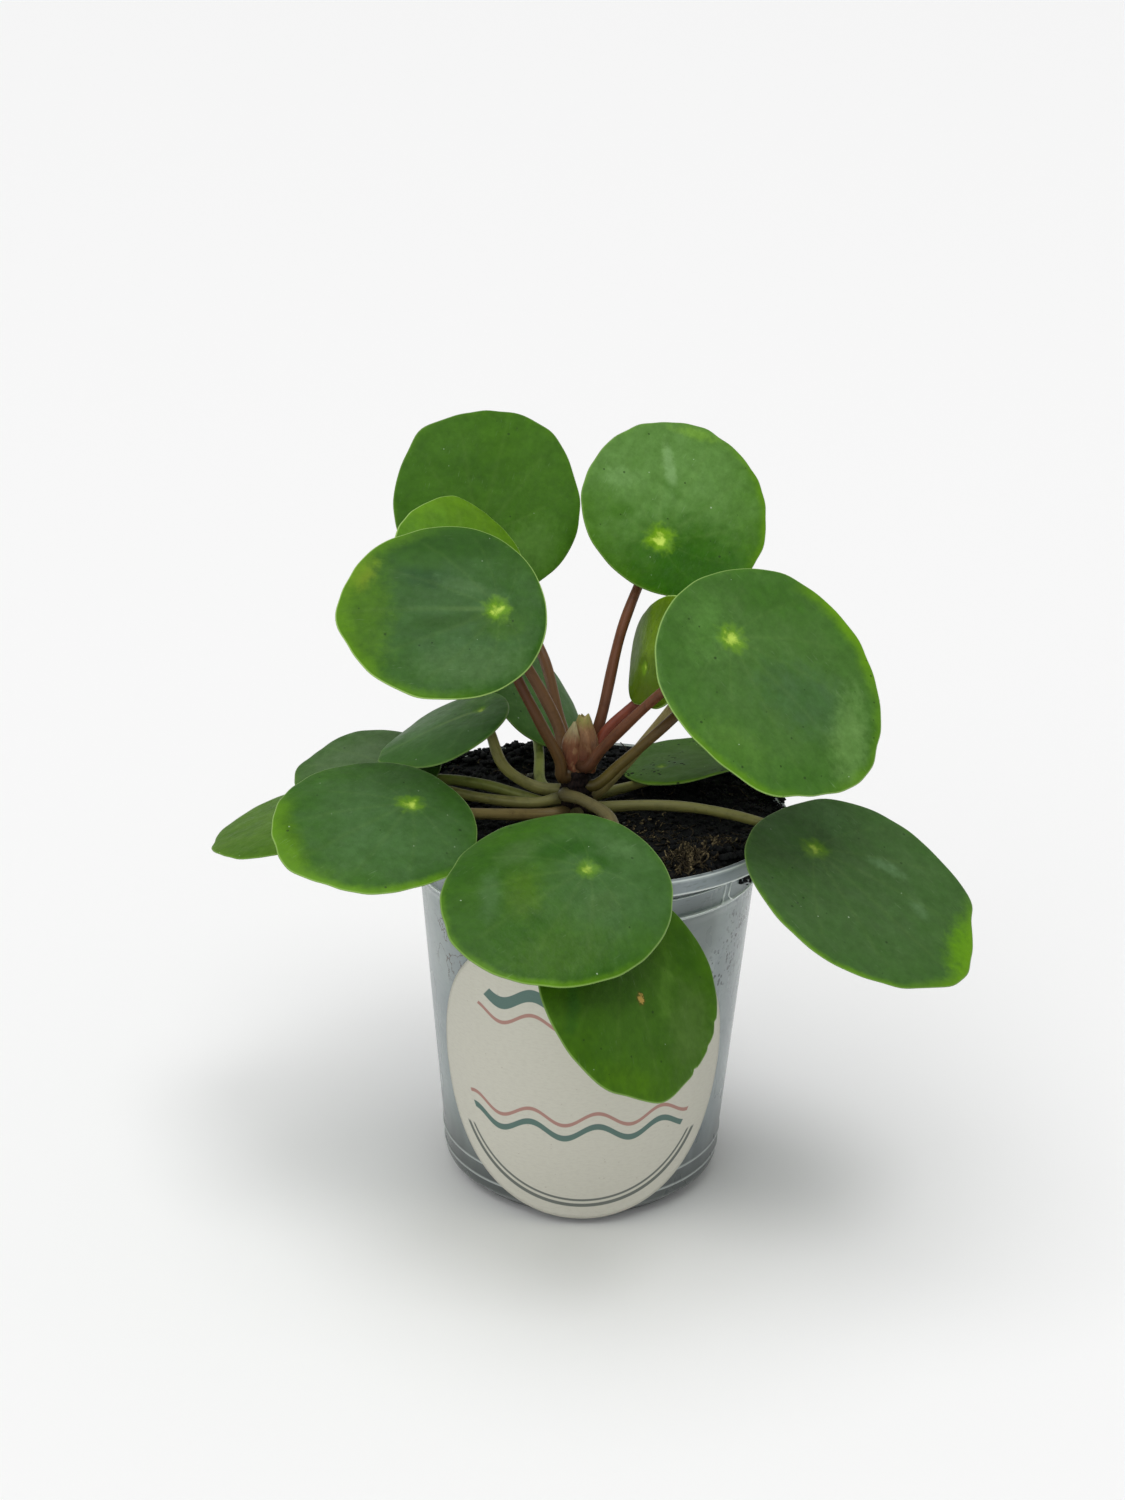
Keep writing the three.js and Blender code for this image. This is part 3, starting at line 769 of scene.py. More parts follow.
@dataclass(frozen=True)
class ScaleFinish:
    """Papery bud scale: pinkish brown at the foot, straw and yellow-green at the tip."""

    name: str
    foot: Colour = linear(110, 62, 42)
    tip: Colour = linear(140, 104, 72)
    top: Colour = linear(150, 150, 80)
    change: float = 0.8
    pale_blot: Colour = linear(186, 148, 108)
    dark_blot: Colour = linear(84, 50, 34)
    rib: Colour = linear(88, 52, 36)
    edge: Colour = linear(160, 146, 96)

    def make(self) -> Material:
        """Build the material.

        Returns:
            The finished material.
        """
        skin = Skin(self.name)
        where = skin.attribute("scale_place", "Vector")
        across, up, _ = skin.split(where)
        ribs = skin.noise(skin.stretched(where, (7.0, 1.0, 1.0)), 1.0, 4.0, 0.6)
        blot = skin.noise(skin.stretched(skin.place(), (1.0, 1.0, 0.7)), 0.42, 4.0, 0.6)
        height = skin.math("ADD", up, skin.times(skin.math("SUBTRACT", ribs, 0.5), 0.35))
        skin.colour = skin.blend(skin.ease(height, 0.2, 0.8), self.foot, self.tip)
        skin.lay(skin.ease(height, self.change, 1.0, 0.0, 0.85), self.top)
        skin.lay(skin.ease(blot, 0.5, 0.68, 0.0, 0.6), self.pale_blot)
        skin.lay(skin.ease(blot, 0.48, 0.3, 0.0, 0.4), self.dark_blot)
        skin.lay(skin.ease(ribs, 0.5, 0.75, 0.0, 0.4), self.rib)
        skin.lay(skin.ease(skin.math("ABSOLUTE", across), 0.85, 1.0, 0.0, 0.5), self.edge)
        skin.scatter(0.15, (0.003, 0.0015, 0.0008))
        return skin.finish(0.5, 0.3, ribs, 0.15)


@dataclass(frozen=True)
class FrostedPotFinish:
    """Frosted grey polypropylene with painted highlights along its edges, beads and ribs, and with soil and
    roots behind the wall.

    The heights up the pot, in millimetres, say where its foot is dark, where the ridge, the painted shade
    under the lip and the soil's upper edge begin and end, and where darker patches, roots and specks lie.
    """

    name: str = "pot_frosted"
    wall: Colour = linear(166, 177, 174)
    shade: Colour = linear(128, 138, 142)
    smear: Colour = linear(186, 194, 196)
    foot: Colour = linear(74, 79, 78)
    # the colour of the painted highlights along the pot's edges, beads and ribs
    edge: Colour = linear(232, 240, 236)
    # the colour of the painted shade under the lip
    gap: Colour = linear(78, 84, 84)
    streak: Colour = linear(96, 102, 102)
    # the colour of the darker patches on the upper front wall
    darker_wall: Colour = linear(82, 89, 90)
    root: Colour = linear(84, 70, 64)
    crumb: Colour = linear(48, 52, 56)
    foot_fade: Pair = (14.0, 46.0)
    ridge_rise: Pair = (100.5, 102.5)
    # heights where the painted shade under the lip begins and ends
    lip_shade_foot: Pair = (107.7, 108.1)
    lip_shade_top: Pair = (112.4, 112.0)
    soil_line: Pair = (98.0, 104.0)
    # middles of the darker patches on the upper front wall
    dark_patches: tuple[Point, ...] = ((30, -41, 94), (24, -44, 78))
    roots: tuple[Point, ...] = ((-39, -30, 84), (-22, 45, 62), (35, 33, 48), (-46, 14, 70))
    specks: tuple[Point, ...] = ((46, -19, 92), (42, -26, 80), (-30, 36, 40), (12, 47, 74), (-44, 6, 88))

    def make(self) -> Material:
        """Build the material.

        Returns:
            The finished material.
        """
        skin = Skin(self.name)
        place = skin.place()
        height = skin.split(place)[2]
        cloud = skin.mottle(skin.stretched(place, (1.0, 1.0, 0.45)), 0.04, 2.6)
        smear = skin.noise(skin.stretched(place, (0.07, 0.07, 0.03)), 1.0, 3.0, 0.45)
        skin.colour = skin.blend(cloud, self.wall, self.shade)
        skin.lay(skin.ease(smear, 0.5, 0.72, 0.0, 0.45), self.smear)
        uneven = skin.math("ADD", height, skin.times(smear, 18.0))
        skin.lay(skin.ease(uneven, *self.foot_fade, 0.95, 0.0), self.foot)
        skin.lay(skin.ease(height, *self.ridge_rise), self.shade, 0.65)
        # painted shade: a dark band under the lip's overhang
        under_lip_shade = skin.times(skin.ease(height, *self.lip_shade_foot), skin.ease(height, *self.lip_shade_top))
        skin.lay(under_lip_shade, self.gap, 0.75)
        streaks = skin.noise(skin.stretched(place, (0.25, 0.25, 1.1)), 1.0, 4.0, 0.65)
        near_top = skin.ease(height, *self.soil_line, 0.3, 1.0)
        skin.lay(skin.times(skin.ease(streaks, 0.52, 0.68), near_top), self.streak, 0.45)
        # darker patches on the upper front wall, under the collar
        for middle in self.dark_patches:
            skin.lay(skin.window(place, middle, 18.0), self.darker_wall, 0.6)
        self._behind(skin, place)
        # painted highlights along the pot's edges, beads and ribs
        skin.lay(skin.attribute("pot_edge_highlight"), self.edge, 0.85)
        skin.scatter(0.15, (0.003, 0.003, 0.003))
        grain = skin.use(Effects.grain(), Place=place, Scale=0.25, Fineness=5.0)
        return skin.finish(skin.ease(smear, 0.3, 0.8, 0.2, 0.36), relief=grain, depth=0.02)

    def _behind(self, skin: Skin, place: Socket) -> None:
        """Lay the roots and soil specks that press against the wall.

        Args:
            skin: the material in the making.
            place: the place on the pot.
        """
        thread = skin.noise(skin.stretched(place, (0.13, 0.13, 0.1)), 1.0, 5.0, 0.6)
        off_line = skin.math("ABSOLUTE", skin.math("SUBTRACT", thread, 0.5))
        line = skin.ease(off_line, 0.003, 0.02, 0.9, 0.0)
        for middle in self.roots:
            skin.lay(skin.times(line, skin.window(place, middle, 15.0)), self.root)
        patch = skin.ease(skin.noise(place, 0.22, 3.0, 0.6), 0.42, 0.52)
        dirt = skin.times(skin.specks(place, 0.8, 0.5, 0.6), patch)
        for middle in self.specks:
            skin.lay(skin.times(dirt, skin.window(place, middle, 13.0)), self.crumb, 0.85)


@dataclass(frozen=True)
class PaperFinish:
    """Uncoated off-white paper, printed with plain wavy bars over two rings."""

    name: str = "label_paper"
    paper: Colour = linear(207, 205, 192)
    fibre: Colour = linear(194, 191, 178)
    fleck: Colour = linear(158, 146, 130)
    teal: Colour = linear(52, 98, 92)
    rose: Colour = linear(168, 118, 108)
    dark: Colour = linear(74, 84, 80)
    rings: tuple[Pair, ...] = ((44.0, 0.45), (42.2, 0.25))
    ring_top: float = -24.0
    wave_reach: float = 38.0
    wave_pitch: float = 0.32
    wave_rise: float = 2.2
    soft: float = 0.25

    def make(self) -> Material:
        """Build the material.

        Returns:
            The finished material.
        """
        skin = Skin(self.name)
        where = skin.attribute("label_place", "Vector")
        across, up, _ = skin.split(where)
        out = skin.vector("LENGTH", where)
        fibres = skin.noise(skin.stretched(where, (0.5, 1.6, 1.0)), 1.0, 5.0, 0.7)
        skin.colour = skin.blend(skin.ease(fibres, 0.4, 0.7, 0.0, 0.5), self.paper, self.fibre)
        skin.lay(skin.specks(where, 0.7, 0.14, 0.16), self.fleck, 0.35)
        lower = skin.ease(up, self.ring_top, self.ring_top + 1.0, 1.0, 0.0)
        for radius, half in self.rings:
            ring = self._line(skin, skin.math("SUBTRACT", out, radius), half)
            skin.lay(skin.times(ring, lower), self.dark, 0.85)
        swing = skin.times(skin.math("SINE", skin.times(across, self.wave_pitch)), self.wave_rise)
        inside = skin.ease(out, self.wave_reach, self.wave_reach + 0.4, 1.0, 0.0)
        for middle, half, ink in ((24.0, 1.9, self.teal), (17.5, 0.5, self.rose),
                                  (-14.0, 0.5, self.rose), (-18.5, 0.9, self.teal)):
            gap = skin.math("SUBTRACT", skin.math("SUBTRACT", up, middle), swing)
            skin.lay(skin.times(self._line(skin, gap, half), inside), ink, 0.88)
        return skin.finish(0.78, relief=fibres, depth=0.04)

    def _line(self, skin: Skin, gap: Socket, half: float) -> Socket:
        """A printed line's mask, by the distance from its middle and its half width."""
        return skin.ease(skin.math("ABSOLUTE", gap), half, half + self.soft, 1.0, 0.0)


@dataclass(frozen=True)
class GroundFinish:
    """Potting mix: a dark crumb colour that varies, with a little damp shine."""

    name: str
    dark: Colour
    pale: Colour
    roughness: float = 0.85
    scale: float = 0.5
    specular: float = 0.2

    def make(self) -> Material:
        """Build the material.

        Returns:
            The finished material.
        """
        skin = Skin(self.name)
        place = skin.place()
        fine = skin.noise(place, self.scale * 5, 4.0, 0.7)
        share = skin.times(skin.mottle(place, self.scale, 3.0), skin.ease(fine, 0.35, 0.75))
        skin.colour = skin.blend(share, self.dark, self.pale)
        roughness = skin.ease(fine, 0.3, 0.7, self.roughness - 0.25, self.roughness)
        return skin.finish(roughness, self.specular, fine, 0.35)


@dataclass
class MeshParts:
    """Points, faces and per-face materials of a mesh in the making."""

    points: list[Point] = field(default_factory=list)
    faces: list[Face] = field(default_factory=list)
    materials: list[int] = field(default_factory=list)

    def extend(self, points: list[Point], faces: list[Face], material: int = 0) -> Self:
        """Add a loose body.

        Args:
            points: its points.
            faces: its faces, counted from its own first point.
            material: the number of its material.

        Returns:
            These parts.
        """
        start = len(self.points)
        self.points.extend(points)
        self.faces.extend(tuple(start + corner for corner in face) for face in faces)
        self.materials.extend([material] * len(faces))
        return self


def put_in_scene(name: str, data: bpy.types.ID) -> Piece:
    """Make an object of a mesh, a light or a camera and link it to the scene.

    Args:
        name: the object's name.
        data: what it shows.

    Returns:
        The new object.
    """
    made = bpy.data.objects.new(name, data)
    bpy.context.scene.collection.objects.link(made)
    return made


def make_piece(name: str, parts: MeshParts, finishes: list[Material],
               replaced: str | None, values: dict[str, Array] | None = None) -> Piece:
    """Turn mesh parts into a piece that rides on the frame.

    Args:
        name: the piece's name.
        parts: its points and faces, in millimetres.
        finishes: its materials.
        replaced: the node that it stands for, if it has one.
        values: per-point values to carry, single or as vectors.

    Returns:
        The new object.
    """
    mesh = bpy.data.meshes.new(name)
    mesh.from_pydata([tuple(MM * number for number in point) for point in parts.points], [], parts.faces)
    for finish in finishes:
        mesh.materials.append(finish)
    mesh.polygons.foreach_set("use_smooth", [True] * len(mesh.polygons))
    if any(parts.materials):
        mesh.polygons.foreach_set("material_index", parts.materials)
    for label, array in (values or {}).items():
        flat = np.asarray(array, dtype=np.float32)
        kind, key = ("FLOAT", "value") if flat.ndim == 1 else ("FLOAT_VECTOR", "vector")
        mesh.attributes.new(label, kind, "POINT").data.foreach_set(key, flat.ravel())
    mesh.update()
    piece = put_in_scene(name, mesh)
    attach(piece, BODY)
    if replaced:
        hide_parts(replaced)
    return piece


def ring_faces(rings: int, count: int, first: int = 0, loop: bool = False) -> list[Face]:
    """Quads between rings of points that follow each other.

    Args:
        rings: how many rings.
        count: how many points each has.
        first: the number of the first ring's first point.
        loop: whether the last ring joins the first.

    Returns:
        The faces.
    """
    faces = []
    for ring in range(rings if loop else rings - 1):
        here = first + ring * count
        there = first + ((ring + 1) % rings) * count
        for step in range(count):
            after = (step + 1) % count
            faces.append((here + step, here + after, there + after, there + step))
    return faces


def closed_tube(rings: Array, first: Array, last: Array) -> Solid:
    """Skin rings of points into a tube and close its ends on middle points.

    Args:
        rings: an array of rings by points by 3.
        first: the middle point before the first ring.
        last: the middle point after the last ring.

    Returns:
        The points and the faces.
    """
    count = rings.shape[1]
    points = [tuple(first), *map(tuple, rings.reshape(-1, 3)), tuple(last)]
    faces = ring_faces(rings.shape[0], count, first=1)
    end = len(points) - 1
    for step in range(count):
        after = (step + 1) % count
        faces.append((0, 1 + after, 1 + step))
        faces.append((end, end - count + step, end - count + after))
    return points, faces


def lathe(profile: Sequence[Pair], sides: int, middle: Sequence[float] = (0.0, 0.0)) -> Array:
    """Rings turned about an upright axis.

    Args:
        profile: the radius and height of each ring.
        sides: how many points a ring has.
        middle: the axis's place.

    Returns:
        An array of rings by points by 3.
    """
    angles = round_angles(sides)
    return np.array([[(middle[0] + radius * math.cos(angle), middle[1] + radius * math.sin(angle), height)
                      for angle in angles] for radius, height in profile])


class Curve:
    """A centripetal Catmull-Rom curve through points, as the stalks' solids follow."""

    LEAST_SPAN = 1e-4
    FINE_STEPS = 40

    def __init__(self, points: list[Array]) -> None:
        """Take the points and add one beyond each end."""
        self.points = [2 * points[0] - points[1], *points, 2 * points[-1] - points[-2]]

    def sample(self, per_span: int) -> Array:
        """Points along the whole curve.

        Args:
            per_span: how many steps each span has.

        Returns:
            An array of points.
        """
        found = []
        spans = len(self.points) - 3
        for span in range(spans):
            p0, p1, p2, p3 = self.points[span:span + 4]
            d0, d1, d2 = (max(self.LEAST_SPAN, np.linalg.norm(after - before) ** 0.5)
                          for before, after in ((p0, p1), (p1, p2), (p2, p3)))
            start = ((p1 - p0) / d0 - (p2 - p0) / (d0 + d1) + (p2 - p1) / d1) * d1
            end = ((p2 - p1) / d1 - (p3 - p1) / (d1 + d2) + (p3 - p2) / d2) * d1
            last = span == spans - 1
            for t in np.linspace(0, 1, per_span + 1)[:None if last else -1]:
                found.append(p1 + start * t + (3 * (p2 - p1) - 2 * start - end) * t ** 2
                             + (2 * (p1 - p2) + start + end) * t ** 3)
        return np.array(found)

    def even(self, spacing: float) -> Array:
        """Points along the curve at an even spacing.

        Args:
            spacing: the distance between them, in millimetres.

        Returns:
            An array of points.
        """
        dense = self.sample(self.FINE_STEPS)
        steps = np.linalg.norm(np.diff(dense, axis=0), axis=1)
        reach = np.concatenate([[0], np.cumsum(steps)])
        wanted = np.linspace(0, reach[-1], max(3, int(reach[-1] / spacing) + 1))
        return np.stack([np.interp(wanted, reach, dense[:, axis]) for axis in range(3)], axis=1)


def carried_frames(path: Array) -> tuple[Array, Array]:
    """Directions along a path that don't twist.

    Args:
        path: the path's points.

    Returns:
        Two directions at each point, square to the path and to each other.
    """
    tangents = np.gradient(path, axis=0)
    tangents /= np.linalg.norm(tangents, axis=1, keepdims=True)
    helper = np.array([0.0, 0.0, 1.0]) if abs(tangents[0][2]) < 0.9 else np.array([1.0, 0.0, 0.0])
    side = np.cross(tangents[0], helper)
    sides = []
    for tangent in tangents:
        side = side - tangent * side.dot(tangent)
        side = side / np.linalg.norm(side)
        sides.append(side)
    sides = np.array(sides)
    return sides, np.cross(tangents, sides)


@dataclass(frozen=True)
class Stem:
    """Shared places of the trunk and the bud: axis, heights and radii, in millimetres."""

    axis: Pair = (-3.8, -2.0)
    foot: float = 100.0
    top: float = 130.0
    collar: float = 115.0
    foot_radius: float = 5.6
    top_radius: float = 4.2


STEM = Stem()


class StalkLook(Enum):
    """The stalks' colours from root to hub."""

    RED_BROWN = ((106, 68, 46), (110, 68, 44))
    PALE_BROWN = ((122, 92, 60), (116, 78, 54))
    RED = ((122, 58, 38), (118, 58, 40))
    OLIVE_TO_DARK_RED = ((98, 74, 40), (96, 56, 38))
    OLIVE_TO_RED = ((112, 100, 46), (94, 60, 40))
    OLIVE = ((126, 124, 72), (140, 138, 76))
    DULL_OLIVE = ((104, 98, 62), (120, 110, 74))
    OLIVE_GREEN = ((130, 136, 68), (146, 158, 78))
    BROWN = ((110, 94, 56), (134, 120, 72))
    TAN = ((156, 142, 88), (188, 170, 118))


@dataclass(frozen=True)
class LeafForm:
    """The sizes that all leaves share, in millimetres and in shares of the way to the edge.

    The taper, tip and edge wave are those of the solids, whose blades are a little thicker. A
    dimple lies over the hub, the edge rolls down and slow swells run over the blade. A stalk
    swells at its root and at its hub, each by a rise and a reach, and wobbles by a rise and a
    pitch.
    """

    thickness: float = 0.6
    cad_thickness: float = 0.8
    taper: float = 0.07
    tip: Pair = (1.0, 0.3)
    edge_wave: float = 0.45
    waves_round: int = 3
    points_round: int = 132
    rings: int = 30
    rim: tuple[float, ...] = (0.972, 0.986, 0.9955, 1.0)
    dimple: Pair = (0.7, 2.4)
    edge_roll: float = 0.35
    vein_angles: tuple[float, ...] = (0.0, 27.0, -27.0, 58.0, -58.0, 95.0, -95.0, 138.0, -138.0)
    vein_width: Pair = (0.75, 0.3)
    vein_bend: float = 0.22
    vein_depth: Pair = (0.03, 0.1)
    ragged_waves: tuple[int, ...] = (5, 7, 11, 16, 23)
    raggedness: float = 0.016
    hub_edge: float = 30.0
    swells: int = 5
    swell_pitch: Pair = (0.09, 0.22)
    swell_rise: Pair = (0.1, 0.22)
    stalk_sides: int = 14
    stalk_step: float = 1.2
    root_radius: float = 1.8
    tip_radius: float = 1.45
    root_swell: Pair = (0.35, 5.0)
    hub_swell: Pair = (0.55, 1.6)
    stalk_wobble: Pair = (0.05, 0.33)
    stalk_flat: float = 0.06
    square_end: float = 2.2


FORM = LeafForm()


@dataclass(frozen=True)
class Leaf:
    """One leaf: a round blade, held under its hub by a stalk from the trunk.

    The sizes are those of the leaf's solids: hub, the angles in degrees, length and width, how
    far the hub is set back, how the sides and the tip hang, the root's compass angle and height,
    and the points that the stalk passes. A corner is a stretch of margin that stands out or in:
    its angle from the tip, its spread and its share of the blade's reach there.
    """

    number: int
    hub: Point
    facing: float
    tilt: float
    turn: float
    length: float
    width: float
    set_back: float
    cup: float
    droop: float
    root: Pair
    via: tuple[Point, ...]
    stalk: StalkLook
    look: BladeLook = BladeLook()
    corners: tuple[tuple[float, float, float], ...] = ()
    young: bool = False

    LAST_RED = 7

    @property
    def name(self) -> str:
        """The leaf's name in the frame."""
        return f"leaf_{self.number:02d}"

    def axes(self) -> tuple[Array, Array, Array]:
        """The blade's own directions.

        Returns:
            Unit vectors to the tip, across the blade, and out of its upper face.
        """
        facing, tilt, turn = map(math.radians, (self.facing, self.tilt, self.turn))
        lean = np.array([math.cos(facing), math.sin(facing), 0.0])
        up = np.array([0.0, 0.0, 1.0])
        normal = math.sin(tilt) * lean + math.cos(tilt) * up
        downhill = math.cos(tilt) * lean - math.sin(tilt) * up
        tip = math.cos(turn) * downhill + math.sin(turn) * np.cross(normal, downhill)
        return tip, np.cross(normal, tip), normal

    def surface(self, share: Array, angle: Array) -> tuple[Array, Array, Array]:
        """The blade's middle surface, as the solid has it.

        Args:
            share: the share of the way from the hub to the edge.
            angle: the angle round the blade, from its tip.

        Returns:
            The places along and across the blade, and the height.
        """
        half_length, half_width = self.length / 2, self.width / 2
        reach, spread = FORM.tip
        pointed = reach * swell(turned(angle), spread)
        along = share * (half_length * (np.cos(angle) + self.set_back) + pointed)
        across = share * half_width * np.sin(angle) * (1 - FORM.taper * np.cos(angle))
        forward = np.maximum(0, along / (half_length * (1 + self.set_back)))
        wave = FORM.edge_wave * share ** 3 * np.sin(FORM.waves_round * angle + self.number - 1)
        height = wave - self.cup * (across / half_width) ** 2 - self.droop * forward ** 2
        return along, across, height

    def undulation(self, along: Array, across: Array, share: Array) -> Array:
        """Slow seeded swells that keep the blade from looking pressed.

        Args:
            along: places along the blade.
            across: places across the blade.
            share: the share of the way to the edge.

        Returns:
            Heights in millimetres.
        """
        draw = random.Random(100 + self.number)
        total = np.zeros_like(along)
        for _ in range(FORM.swells):
            heading = draw.uniform(0, math.tau)
            pitch = draw.uniform(*FORM.swell_pitch)
            phase = draw.uniform(0, math.tau)
            walk = along * math.cos(heading) + across * math.sin(heading)
            total += draw.uniform(*FORM.swell_rise) * np.sin(pitch * walk + phase)
        return total * smooth_step(0.05, 0.6, share)

    def raggedness(self, angle: Array) -> Array:
        """How much the margin wanders in and out, with the blade's own corners.

        Args:
            angle: the angle round the blade, from its tip.

        Returns:
            The change as a share of the distance from the hub.
        """
        draw = random.Random(700 + self.number)
        total = np.zeros_like(angle)
        for waves in FORM.ragged_waves:
            rise = draw.uniform(0.3, 1.0) * FORM.raggedness / waves ** 0.6
            total += rise * np.sin(waves * angle + draw.uniform(0, math.tau))
        for toward, spread, rise in self.corners:
            total += rise * swell(turned(angle - math.radians(toward)), math.radians(spread))
        return total

    def veins(self, along: Array, across: Array, share: Array) -> Array:
        """How strongly a main vein shows at each place, from 0 to 1.

        Args:
            along: places along the blade.
            across: places across the blade.
            share: the share of the way to the edge.

        Returns:
            The strengths.
        """
        away = np.hypot(along, across)
        heading = np.arctan2(across, along)
        strength = np.zeros_like(along)
        for count, degrees in enumerate(FORM.vein_angles):
            bend = math.radians(degrees) * (1 - FORM.vein_bend * share)
            width = between(*FORM.vein_width, min(1.0, count / 6))
            strength = np.maximum(strength, swell(turned(heading - bend) * away, width))
        return strength * smooth_step(0.02, 0.12, share) * (1 - smooth_step(0.75, 0.97, share))

    def blade(self) -> Piece:
        """Build the blade: two faces with a round edge, a dimple over the hub and sunk veins.

        Returns:
            The blade's object.
        """
        steps = np.linspace(0, 1, FORM.rings + 1)[1:]
        shares = 1 - (1 - steps) ** 1.25
        shares[-len(FORM.rim):] = FORM.rim
        angles = round_angles(FORM.points_round)
        share, angle = np.meshgrid(shares, angles, indexing="ij")
        along, across, height = self.surface(share, angle)
        uneven = 1 + self.raggedness(angle) * share ** 6
        along, across = along * uneven, across * uneven
        away = np.hypot(along, across)
        vein = self.veins(along, across, share)
        dip, dip_reach = FORM.dimple
        height = height + self.undulation(along, across, share)
        height = height - dip * swell(away, dip_reach) - FORM.edge_roll * share ** 10
        half_thickness = FORM.thickness / 2
        near_edge = np.clip((share - FORM.rim[0]) / (1 - FORM.rim[0]), 0, 1)
        half = half_thickness * np.sqrt(1 - near_edge ** 2)
        over, under = FORM.vein_depth
        upper = np.stack([along, across, height + half - over * vein], axis=-1)
        lower = np.stack([along, across, height - half - under * vein], axis=-1)
        hub_top = np.array([0.0, 0.0, -dip + half_thickness])
        hub_under = np.array([0.0, 0.0, -dip - half_thickness])
        points, faces = closed_tube(np.concatenate([upper, lower[-2::-1]]), hub_top, hub_under)
        local = np.array(points)
        tip, side, normal = self.axes()
        world = np.array(self.hub) + local[:, :1] * tip + local[:, 1:2] * side + local[:, 2:] * normal

        edge = (1 - share) * np.maximum(1e-6, away / share)
        is_upper = np.ones_like(share)
        is_upper[-1] = 0.5
        values = {
            "blade_place": np.column_stack([local[:, :2], np.zeros(len(local))]),
            "blade_edge": self._through(edge, edge, FORM.hub_edge, FORM.hub_edge),
            "blade_vein": self._through(vein, vein, 0.0, 0.0),
            "blade_upper": self._through(is_upper, np.zeros_like(share), 1.0, 0.0),
        }
        parts = MeshParts().extend([tuple(point) for point in world], faces)
        finish = BladeFinish(f"{self.name}_skin", self.look, self.number, self.length / 60)
        return make_piece(f"{self.name}_skin", parts, [finish.make()], f"{self.name}_blade", values)

    def _through(self, upper: Array, lower: Array, top: float, bottom: float) -> Array:
        """Values in the order of the blade's points: hub, upper rings, lower rings, hub."""
        rings = np.concatenate([upper, lower[-2::-1]])
        return np.concatenate([[top], rings.ravel(), [bottom]])

    def stalk_path(self) -> Array:
        """The stalk's middle line, from inside the trunk to the hub's underside.

        Returns:
            Points in millimetres.
        """
        angle, height = math.radians(self.root[0]), self.root[1]
        middle = np.array([*STEM.axis, height])
        skin = middle + STEM.foot_radius * np.array([math.cos(angle), math.sin(angle), 0.0])
        normal = self.axes()[2]
        hub = np.array(self.hub)
        end = hub - normal * (FORM.cad_thickness / 2 + 0.1)
        square = hub - normal * (FORM.cad_thickness / 2 + 0.3 + FORM.square_end)
        points = [between(middle, skin, 0.35), skin, *map(np.array, self.via), square, end]
        return Curve([np.asarray(point, dtype=float) for point in points]).even(FORM.stalk_step)

    def stalk_piece(self) -> Piece:
        """Build the stalk: round, tapered, swollen at its root and its hub.

        Returns:
            The stalk's object.
        """
        path = self.stalk_path()
        sides, ups = carried_frames(path)
        share = np.linspace(0, 1, len(path))
        draw = random.Random(400 + self.number)
        length = len(path) * FORM.stalk_step
        radius = between(FORM.root_radius, FORM.tip_radius, share)
        along = share * length
        for (rise, reach), away in ((FORM.root_swell, along), (FORM.hub_swell, (1 - share) * length)):
            radius = radius + rise * swell(away, reach)
        wobble, pitch = FORM.stalk_wobble
        radius = radius + wobble * np.sin(along * pitch + draw.uniform(0, 6))
        angles = round_angles(FORM.stalk_sides)
        flat = FORM.stalk_flat * np.cos(2 * angles + draw.uniform(0, 6))
        ring = (radius[:, None] * (1 + flat[None, :]))[..., None]
        spread = (np.cos(angles)[None, :, None] * sides[:, None, :]
                  + np.sin(angles)[None, :, None] * ups[:, None, :])
        points, faces = closed_tube(path[:, None, :] + ring * spread, path[0], path[-1])
        parts = MeshParts().extend(points, faces)
        carried = (np.cos(angles), np.sin(angles), share[:, None])
        around = np.stack([np.broadcast_to(part, ring.shape[:2]) for part in carried], axis=-1)
        place = np.concatenate([[[0, 0, 0]], around.reshape(-1, 3), [[0, 0, 1]]])
        root, tip = self.stalk.value
        finish = StalkFinish(f"{self.name}_stalk_skin", linear(*root), linear(*tip))
        return make_piece(f"{self.name}_stem", parts, [finish.make()],
                          f"{self.name}_stalk", {"stalk_place": place})


